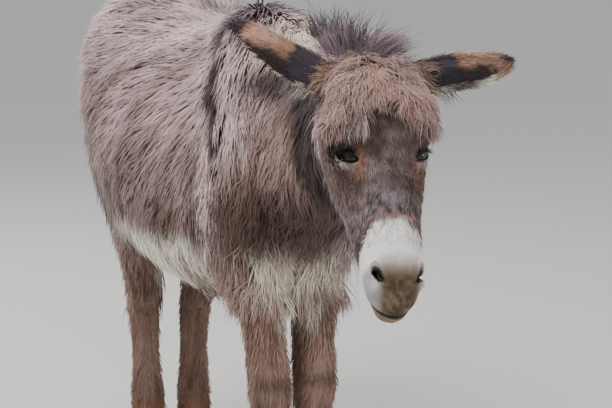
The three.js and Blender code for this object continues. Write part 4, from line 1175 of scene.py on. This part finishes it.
class DONKEY_OT_skin(bpy.types.Operator):
    """Makes the one skin that stands for every node of flesh"""

    bl_idname = "donkey.skin"
    bl_label = "Skin"

    def execute(self, context):
        s = context.scene.donkey_skin
        obj = make_skin(s.voxel, s.faces)
        a = placed(obj.data)
        rgb = coat_colour(a)
        bare = np.clip(a.muzzle * ramp(a.hs, 0.39, 0.41), 0, 1)
        rgb = rgb * mix(mix(0.80, 0.86, a.head), 0.97, np.maximum(bare, 0.9 * a.ears))[:, None]
        for side in (1, -1):
            slit, _, _ = nostril(a, side)
            rgb = mix(rgb, NOSE_DARK * 0.9, 0.7 * hill(slit, 1.15, 0.3))
            # Near-black painted shade in each nostril's pit, for the depth of the opening.
            rgb = mix(rgb, SKIN_DARK * 0.3, ramp(-slit, -1.02, -0.80))
            u, v, w = eye_place(a, side)
            near = (w > 0) * a.head
            edge = off_lids(u, v)
            bag = hill(np.hypot(u / 0.024, v / 0.0145), 1, 0.3) * ramp(-v, 0.0, 0.006)
            rgb = mix(rgb, TAUPE * 0.8, 0.55 * bag * near)
            corner = np.hypot((u - 0.019) / 0.007, v / 0.004)
            rim = np.maximum(ramp(-edge, -1.38, -1.15), ramp(-corner, -1.2, -0.8))
            rgb = mix(rgb, SKIN_DARK, rim * near)
        paint(obj.data, "coat", rgb)
        finish_piece(obj, skin_material(), "coat", *FLESH)
        made["skin"] = Skin(obj)
        return {"FINISHED"}


def tuft_count(share):
    """How many tufts make a share of a full piece of coat."""
    return int(bpy.context.scene.donkey_coat.tufts * share * (1.0))


def grow(
    name, weight, share, seed, width, root_angle, tip_angle, unwrap,
    slot="coat", scale=1.0, reach=0.9, **shape
):
    """Makes one piece of coat: scatters its roots over the skin by weight, asks the coat functions for their
    lie, length and colour, and grows the tufts. A width, angle or scale may be a number or a function of
    place."""
    rng = np.random.default_rng(seed)
    a = made["skin"].scatter(weight, tuft_count(share), rng)
    value = lambda v: v(a) if callable(v) else v
    lie = coat_lie(a)
    length = coat_length(a) * value(scale)
    colour = coat_at(a, lie, length, reach)
    shape = {"bend": made["skin"].bend(a, lie, length), **shape}
    sizes = [value(v) for v in (width, root_angle, tip_angle)]
    obj = tufts(name, a, lie, length, *sizes, colour, unwrap(a), rng, **shape)
    return finish_piece(obj, made["hair"], slot)


def breast(m):
    """The front of the chest, between and above the forelegs."""
    return (m.z < 0.80) * (m.y < -0.02) * (m.n[:, 1] < 0.35) * m.trunk


class DONKEY_OT_trunk_coat(bpy.types.Operator):
    """Makes the long shaggy coat of the trunk, in a left, a right and a lower piece, and that of the chest"""

    bl_idname = "donkey.trunk_coat"
    bl_label = "Trunk coat"

    def execute(self, context):
        width = context.scene.donkey_coat.trunk_width
        m = made["skin"].middle
        body = m.trunk * (1 - m.neck) * (1 - breast(m))
        low = (m.z < 0.66) * (m.y >= -0.02)
        soft = dict(clump=0.030, curl=0.06, fall=0.03, wander=11, light=1.06, dark=0.86, strays=0.0)
        for name, mask, share, seed in (
            ("coat_trunk_left", body * (m.x > 0) * (1 - low), 0.80, 100),
            ("coat_trunk_right", body * (m.x <= 0) * (1 - low), 1.07, 101),
            ("coat_trunk_lower", body * low, 0.70, 102),
        ):
            grow(name, mask, share, seed, lambda a: width * (1 + 0.10 * a.belly), lambda a: 31 + 12 * a.belly,
                 lambda a: 3 + 8 * a.belly, trunk_unwrap, **soft)
        grow("coat_chest", breast(m), 0.48, 104, width * 0.9, 38, 8, trunk_unwrap, rings=3, pull=0.65,
             clump=0.024, curl=0.13, turns=6.0, fall=0.08, wander=18, light=1.12, dark=0.74)
        return {"FINISHED"}


class DONKEY_OT_neck_coat(bpy.types.Operator):
    """Makes the coat of the neck and the throat"""

    bl_idname = "donkey.neck_coat"
    bl_label = "Neck coat"

    def execute(self, context):
        m = made["skin"].middle
        mask = m.neck * m.trunk * (1 - breast(m))
        grow("coat_neck", mask, 0.74, 110, context.scene.donkey_coat.trunk_width * 0.88, 30, 4, trunk_unwrap,
             clump=0.022, curl=0.07, fall=0.03, wander=11, light=1.08, dark=0.82)
        return {"FINISHED"}


class DONKEY_OT_leg_coat(bpy.types.Operator):
    """Makes the shorter coat of the four legs"""

    bl_idname = "donkey.leg_coat"
    bl_label = "Leg coat"

    def execute(self, context):
        m = made["skin"].middle
        mask = (m.legs > 0.02) * m.legs * (m.z > 0.035)
        width = lambda a: mix(0.0024, 0.0033, ramp(a.z, 0.3, 0.5))
        grow("coat_legs", mask, 0.74, 120, width, 24, 3, leg_unwrap, slot="coat_leg",
             clump=0.014, curl=0.06, wander=10, light=1.08, dark=0.82)
        return {"FINISHED"}


def bare_skin(m):
    """Where the head has no hair: round the eyes, in the nostrils and along the line of the mouth."""
    bare = (np.abs(m.lip) < 0.004) * (m.hs > 0.385)
    for side in (1, -1):
        u, v, w = eye_place(m, side)
        near = np.hypot(u / 0.0235, v / 0.0130)
        bare = bare | ((near < 1) & (w > 0)) | (nostril(m, side)[0] < 1.35)
    return bare * 1.0


def on_nose(m):
    """The end of the muzzle, with the shortest hair."""
    return ramp(m.hs + 0.25 * m.hn, 0.40, 0.42)


class DONKEY_OT_head_coat(bpy.types.Operator):
    """Makes the short hair of the face, its scattered pale hairs, and the long mop over the forehead"""

    bl_idname = "donkey.head_coat"
    bl_label = "Head coat"

    def execute(self, context):
        width = context.scene.donkey_coat.face_width
        m = made["skin"].middle
        face = (m.head > 0.5) * (m.ears < 0.5) * (1 - bare_skin(m))
        grow("coat_face", face * (1 - 0.8 * m.mop) * (1 - 0.45 * on_nose(m)), 1.0, 130,
             lambda a: width * (1 - 0.35 * a.muzzle - 0.2 * on_nose(a)), lambda a: 25 - 6 * a.muzzle, 7,
             head_unwrap, scale=lambda a: 1 - 0.35 * on_nose(a), reach=0.6, pull=0.45, clump=0.0085,
             curl=0.18, wander=18,
             light=1.22, dark=0.76, strays=0.03, vary=0.24)
        grow("coat_mop", face * m.mop, 0.42, 131, 0.0024, 36, -3, head_unwrap, reach=0.1, rings=4, pull=0.65,
             scale=lambda a: 0.95 + 0.28 * mottle(a.q, 0.022, 41), clump=0.026, curl=0.14, turns=5.5,
             wander=24, fall=0.10, light=1.10, dark=0.72)
        return {"FINISHED"}


class DONKEY_OT_ear_coat(bpy.types.Operator):
    """Makes the short hair of the ears, the fringes along their edges and the pale curls under their roots"""

    bl_idname = "donkey.ear_coat"
    bl_label = "Ear coat"

    def execute(self, context):
        m = made["skin"].middle
        inner = m.on_ears(lambda side: m.ear_in[side])
        tip = m.on_ears(lambda side: ramp(m.ear_t[side], 0.80, 0.92))
        edge = np.clip(hill(inner, 0.15, 0.45) + 1.5 * tip, 0, 1)
        root = m.on_ears(lambda side: ramp(0.42 - m.ear_t[side], 0, 0.1))
        whole = (m.ears > 0.5) * 1.0
        grow("coat_ears", whole, 0.36, 140, 0.0018, lambda a: 20 + 10 * a.ear_hollow(), 6, ear_unwrap,
             slot="coat_dark", reach=0.5, pull=0.4, clump=0.010, curl=0.07, wander=12, dark=0.66, vary=0.2)
        grow("ear_fringes", whole * edge, 0.10, 141, 0.0013, 36, 18, ear_unwrap, slot="coat_dark",
             scale=1.25, reach=0.2, rings=3, pull=0.5, clump=0.010, curl=0.07, wander=14, dark=0.7, vary=0.2,
             strays=0.0)
        grow("ear_curls", whole * root * ramp(inner, 0.0, 0.4), 0.030, 142, 0.0014, 60, 20, ear_unwrap,
             scale=1.3, reach=0.0, rings=4, pull=0.7, clump=0.012, curl=0.20, wander=30, fall=0.75, dark=0.8,
             bend=0.0)
        return {"FINISHED"}


def crest(y):
    """The place of the neck's crest at a distance along the body: x and z of the skin there."""
    x = np.interp(y, [-0.59, -0.53, -0.39, -0.16, 0.0], [-0.015, -0.013, -0.008, 0.0, 0.0])
    z = np.interp(y, [-0.59, -0.53, -0.47, -0.39, -0.28, -0.16, -0.06, 0.0],
                  [0.985, 1.012, 1.018, 1.026, 1.034, 1.044, 1.06, 1.075])
    return x, z


class DONKEY_OT_mane(bpy.types.Operator):
    """Makes the mane: pale and short on the neck, with dark upright spikes, and a long soft sweep to the left
    by the poll"""

    bl_idname = "donkey.mane"
    bl_label = "Mane"

    def execute(self, context):
        hair = made["hair"]
        rng = np.random.default_rng(150)
        count = tuft_count(0.16)
        y = -0.585 + 0.60 * rng.random(count) ** 1.15
        x, z = crest(y)
        off = rng.normal(0, 0.011, count)
        p = np.stack([x + off, y, z - 0.012 - 0.3 * np.abs(off)], 1) + HERE
        n = unit(np.stack([off * 12, np.zeros(count), np.ones(count)], 1))
        a = Place(p, n)
        wisp = mottle(p * [0.3, 1, 0.3], 0.022, 21)
        tall = np.interp(y, [-0.60, -0.53, -0.47, -0.44, -0.41, -0.37, -0.34, -0.28, -0.10, 0.02],
                         [0.085, 0.105, 0.095, 0.055, 0.075, 0.075, 0.045, 0.034, 0.028, 0.02])
        lean = np.interp(y, [-0.60, -0.50, -0.46, -0.42, -0.36, 0.0], [1.0, 1.0, 0.8, 0.1, 0.0, 0.0])
        ahead = np.interp(y, [-0.60, -0.5, -0.42, -0.3, 0.0], [-0.3, 0.1, 0.5, 0.3, 0.5])
        lie = np.stack([lean + 0.25 * wisp, ahead + 0.3 * wisp, np.zeros(count)], 1)
        lie = unit(lie - n * dots(lie, n) + 1e-6)
        dark = mix(MANE_DARK, MANE, np.clip(0.35 + 0.6 * wisp, 0, 1))
        pale = hill(y, -0.20, 0.15)
        rgb = mix(dark, CREAM * [0.85, 0.78, 0.75], np.clip(1.3 * pale, 0, 1))
        obj = tufts(
            "coat_mane",
            a,
            lie,
            tall * (0.85 + 0.35 * wisp),
            0.0021,
            mix(86.0, 66.0, lean),
            mix(62.0, 10.0, lean) + 10 * wisp,
            rgb,
            np.stack([y, off], 1),
            rng,
            rings=5,
            pull=0.6,
            clump=0.030,
            curl=0.06,
            wander=12,
            light=1.3,
            dark=0.6,
            strays=0.0,
        )
        finish_piece(obj, hair, "coat_dark", "mane")
        # Dark spikes that fan out of a few points of the crest.
        rng = np.random.default_rng(151)
        spots = [-0.545, -0.50, -0.455, -0.425, -0.385, -0.345]
        spots += [-0.318, -0.300, -0.285, -0.262, -0.215, -0.12]
        each = max(4, tuft_count(0.0019))
        y0 = np.repeat(spots, each)
        count = len(y0)
        y = y0 + rng.normal(0, 0.006, count)
        x, z = crest(y)
        p = np.stack([x + rng.normal(0, 0.004, count), y, z - 0.008], 1) + HERE
        turn = rng.random(count) * 2 * math.pi
        lie = np.stack([np.cos(turn), np.sin(turn), np.zeros(count)], 1)
        n = unit(np.stack([0.25 * np.cos(turn), 0.25 * np.sin(turn), np.ones(count)], 1))
        lie = unit(lie - n * dots(lie, n))
        heights = [0.08, 0.10, 0.085, 0.090, 0.06, 0.035]
        tall = np.interp(y0, [-0.55, -0.46, -0.42, -0.30, -0.2, -0.1], heights)
        obj = tufts(
            "mane_spikes",
            Place(p, n),
            lie,
            tall,
            0.0016,
            88,
            50 + 25 * rng.random(count),
            np.broadcast_to(SPIKE, (count, 3)),
            np.stack([y, turn], 1),
            rng,
            rings=4,
            pull=0.0,
            clump=0.02,
            curl=0.04,
            wander=10,
            light=1.2,
            dark=0.8,
            strays=0.0,
        )
        finish_piece(obj, hair, "coat_dark")
        return {"FINISHED"}


class DONKEY_OT_tail_coat(bpy.types.Operator):
    """Makes the hair of the tail, which grows into a long tassel"""

    bl_idname = "donkey.tail_coat"
    bl_label = "Tail coat"

    def execute(self, context):
        skin = made["skin"]
        m = skin.middle
        rng = np.random.default_rng(160)
        a = skin.scatter((m.tail > 0.5) * (1 + 1.5 * ramp(-m.z, -0.75, -0.6)), tuft_count(0.20), rng)
        low = ramp(-a.z, -0.78, -0.6)
        length = np.minimum(mix(0.028, 0.13, low), np.maximum(a.z - 0.315, 0.02))
        obj = tufts(
            "coat_tail",
            a,
            coat_lie(a),
            length,
            mix(0.0034, 0.0030, low),
            mix(26, 16, low),
            mix(6, -4, low),
            coat_colour(a),
            np.stack([a.z, np.arctan2(a.x, a.y - 0.9)], 1),
            rng,
            rings=4,
            pull=0.3,
            clump=0.016,
            curl=0.03,
            wander=6,
            strays=0.0,
        )
        finish_piece(obj, made["hair"], "coat_leg")
        return {"FINISHED"}


LASHES = 60  # on each upper lid
RIM_LIFT, LASH_LIFT = 0.0012, 0.003
UPPER_RIM, LOWER_RIM = 0.0021, 0.0017


class DONKEY_OT_eyes(bpy.types.Operator):
    """Makes the two eyes, the dark rims of their lids and the lashes"""

    bl_idname = "donkey.eyes"
    bl_label = "Eyes"

    def execute(self, context):
        wet = eye_material()
        rims, lashes = [], []
        rng = np.random.default_rng(170)
        for side, label in ((1, "left"), (-1, "right")):
            centre, along, across, out = eye_frame(side)
            rows, columns = 40, 56
            polar = np.linspace(0, math.pi, rows)[:, None] + np.zeros((1, columns))
            turn = np.linspace(0, 2 * math.pi, columns, endpoint=False)[None] + np.zeros((rows, 1))
            radius = EYE_RADIUS * (1 + 0.045 * ramp(-polar, -0.62, 0.0))
            u = radius * np.sin(polar) * np.cos(turn)
            v = radius * np.sin(polar) * np.sin(turn)
            w = radius * np.cos(polar)
            pts = centre + u[..., None] * along + v[..., None] * across + w[..., None] * out
            faces = grid_faces(rows, columns)
            if np.cross(along, across) @ out < 0:
                faces = faces[:, ::-1]
            obj = new_object(f"eyeball_{label}", from_head(pts.reshape(-1, 3)), faces)
            far = np.hypot(u, v).ravel()
            pupil = np.hypot(u / 0.0060, v / 0.0032).ravel()
            rgb = mix(IRIS, IRIS_EDGE, ramp(far, 0.007, 0.0112))
            rgb = mix(rgb, EYE_WHITE, ramp(far, 0.0125, 0.0140))
            rgb = mix(rgb, PUPIL, ramp(-pupil, -1.1, -0.9))
            paint(obj.data, "coat", rgb)
            finish_piece(obj, wet, "eye", f"eye_{label}")
            ring = np.linspace(0, 2 * math.pi, 72, endpoint=False)
            thick = np.where(np.sin(ring) > 0, UPPER_RIM, LOWER_RIM)
            rims.append((lid_line(side, ring, RIM_LIFT), thick, side))
            p = lid_line(side, math.pi * (0.12 + 0.72 * rng.random(LASHES)), LASH_LIFT)
            droop = unit(out * 1.0 - across * 0.75 - along * 0.15 + 0.10 * rng.standard_normal((LASHES, 3)))
            lashes.append((p, droop))
        verts, faces, start = [], [], 0
        for path, thick, side in rims:
            step = unit(np.roll(path, -1, 0) - np.roll(path, 1, 0))
            outward = unit(path - eye_frame(side)[0])
            across = np.cross(step, outward)
            turn = np.linspace(0, 2 * math.pi, 8, endpoint=False)
            c, s = np.cos(turn)[None, :, None], np.sin(turn)[None, :, None]
            ring = path[:, None] + thick[:, None, None] * (c * across[:, None] + s * outward[:, None] * 0.9)
            rows = len(path)
            quads = grid_faces(rows + 1, 8) % (rows * 8)
            verts.append(from_head(ring.reshape(-1, 3)))
            faces.append(quads + start)
            start += rows * 8
        obj = new_object("lid_rims", np.concatenate(verts), np.concatenate(faces))
        paint(obj.data, "coat", np.broadcast_to(SKIN_DARK * 0.8, (start, 3)))
        finish_piece(obj, made["hide"], "coat_dark")
        p = from_head(np.concatenate([x for x, _ in lashes]))
        way = np.concatenate([w for _, w in lashes]) @ HEAD_AXES
        a = Place(p, unit(way))
        lie = unit(np.cross(way, np.array([0.3, 0.9, 0.1])))
        obj = tufts(
            "lashes", a, lie, np.full(len(p), 0.016), 0.0007, 88, 70, np.broadcast_to(SKIN_DARK, (len(p), 3)),
            a.h[:, :2], rng, rings=3, pull=0.1, clump=0.006, curl=0.02, wander=5, sunk=0.0015, fall=0.15,
        )
        finish_piece(obj, made["hair"], "coat_dark")
        return {"FINISHED"}


# A hoof's half widths across and along, at the floor and at the coronet, and the coronet's heights.
HOOF_WIDE, HOOF_DEEP = (0.042, 0.038), (0.050, 0.042)
HEEL_TOP, TOE_TOP = 0.038, 0.058


class DONKEY_OT_hooves(bpy.types.Operator):
    """Makes the four hooves, flat below and narrowing to the coronet"""

    bl_idname = "donkey.hooves"
    bl_label = "Hooves"

    def execute(self, context):
        horn = horn_material()
        for foot in ("fore_left", "fore_right", "hind_left", "hind_right"):
            low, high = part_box(f"hoof_{foot}")
            x, y = (low[0] + high[0]) / 2, low[1] + 0.0495
            columns = 64
            turn = np.linspace(0, 2 * math.pi, columns, endpoint=False)
            up = np.r_[0, 0, 0.0, 0.03, np.linspace(0.06, 1, 22), 1.0, 1.0][:, None]
            size = np.r_[0.0, 0.6, 0.955, 0.985, np.ones(22), 0.8, 0.0][:, None]
            toe = -np.sin(turn)[None]
            top = HEEL_TOP + (TOE_TOP - HEEL_TOP) * (toe + 1) / 2 - 0.001
            ripple = 1 + 0.006 * np.sin(up * 40) * (up > 0.1) * (up < 0.95)
            cleft = 1 - 0.10 * np.exp(-(((turn[None] - math.pi / 2) / 0.22) ** 2))
            wide = mix(*HOOF_WIDE, up) * size * ripple
            deep = mix(*HOOF_DEEP, up) * size * ripple * cleft
            px = x + wide * np.cos(turn)[None]
            py = y + 0.018 * up + deep * np.sin(turn)[None]
            pz = up * top
            pts = np.stack([px, py, np.broadcast_to(pz, px.shape)], -1).reshape(-1, 3)
            obj = new_object(f"horn_{foot}", pts, grid_faces(len(up), columns))
            finish_piece(obj, horn, "hoof", f"hoof_{foot}")
        return {"FINISHED"}


FLOOR_REACH = 60.0
CAMERA_TURN, CAMERA_RISE = math.radians(-21.4), math.radians(7.3)
CAMERA_AIM = np.array([0.030, -0.100, 0.700]) + HERE
CAMERA_AWAY = 4.9


class DONKEY_OT_stage(bpy.types.Operator):
    """Makes the pale floor, the soft lights and the camera"""

    bl_idname = "donkey.stage"
    bl_label = "Stage"

    def execute(self, context):
        s = context.scene.donkey_stage
        pts = np.array([[-1, -1, 0], [1, -1, 0], [1, 1, 0], [-1, 1, 0]]) * FLOOR_REACH
        floor = new_object("floor", pts, np.array([[0, 1, 2, 3]]))
        floor.data.materials.append(floor_material(s.floor))
        world = bpy.data.worlds.new("studio")
        world.use_nodes = True
        sky = world.node_tree.nodes["Background"].inputs
        sky["Color"].default_value = (0.93, 0.96, 1.0, 1)
        sky["Strength"].default_value = 0.75
        context.scene.world = world
        target = Vector((0, -0.1, 0.7))
        for name, place, size, power in (
            ("key", (-3.2, -2.2, 4.6), 2.6, 260.0),
            ("fill", (4.2, -3.6, 2.6), 3.0, 90.0),
            ("rim", (-1.2, 4.2, 4.0), 2.5, 150.0),
        ):
            light = bpy.data.lights.new(name, "AREA")
            light.shape = "DISK"
            light.size = size
            light.energy = power
            lamp = bpy.data.objects.new(name, light)
            lamp.location = place
            lamp.rotation_euler = (target - Vector(place)).to_track_quat("-Z", "Y").to_euler()
            context.scene.collection.objects.link(lamp)
        a, e = CAMERA_TURN, CAMERA_RISE
        back = np.array([math.sin(a) * math.cos(e), -math.cos(a) * math.cos(e), math.sin(e)])
        camera = bpy.data.objects.new("camera", bpy.data.cameras.new("camera"))
        camera.data.sensor_width = 36.0
        camera.data.lens = s.lens
        camera.data.clip_end = 200.0
        camera.location = CAMERA_AIM + back * CAMERA_AWAY
        camera.rotation_euler = Vector(-back).to_track_quat("-Z", "Y").to_euler()
        context.scene.collection.objects.link(camera)
        context.scene.camera = camera
        return {"FINISHED"}


OPERATORS = (
    DONKEY_OT_stage,
    DONKEY_OT_skin,
    DONKEY_OT_trunk_coat,
    DONKEY_OT_neck_coat,
    DONKEY_OT_leg_coat,
    DONKEY_OT_head_coat,
    DONKEY_OT_ear_coat,
    DONKEY_OT_mane,
    DONKEY_OT_tail_coat,
    DONKEY_OT_eyes,
    DONKEY_OT_hooves,
)


class DONKEY_PT_panel(bpy.types.Panel):
    """Lists the donkey's settings and its steps"""

    bl_idname = "DONKEY_PT_panel"
    bl_label = "Donkey"
    bl_space_type = "VIEW_3D"
    bl_region_type = "UI"
    bl_category = "Donkey"

    def draw(self, context):
        for group in (context.scene.donkey_skin, context.scene.donkey_coat, context.scene.donkey_stage):
            for name in group.__annotations__:
                self.layout.prop(group, name)
        for operator in OPERATORS:
            self.layout.operator(operator.bl_idname)


GROUPS = {
    "donkey_skin": DonkeySkinSettings,
    "donkey_coat": DonkeyCoatSettings,
    "donkey_stage": DonkeyStageSettings,
}


def register():
    for cls in (*GROUPS.values(), *OPERATORS, DONKEY_PT_panel):
        bpy.utils.register_class(cls)
    for name, cls in GROUPS.items():
        setattr(bpy.types.Scene, name, PointerProperty(type=cls))


def unregister():
    for name in GROUPS:
        delattr(bpy.types.Scene, name)
    for cls in reversed((*GROUPS.values(), *OPERATORS, DONKEY_PT_panel)):
        bpy.utils.unregister_class(cls)


def main():
    register()
    made["hair"] = hair_material("coarse_coat_hair", 0.7)
    made["hide"] = skin_material()
    for operator in OPERATORS:
        group, name = operator.bl_idname.split(".")
        getattr(getattr(bpy.ops, group), name)()


if __name__ == "__main__":
    main()
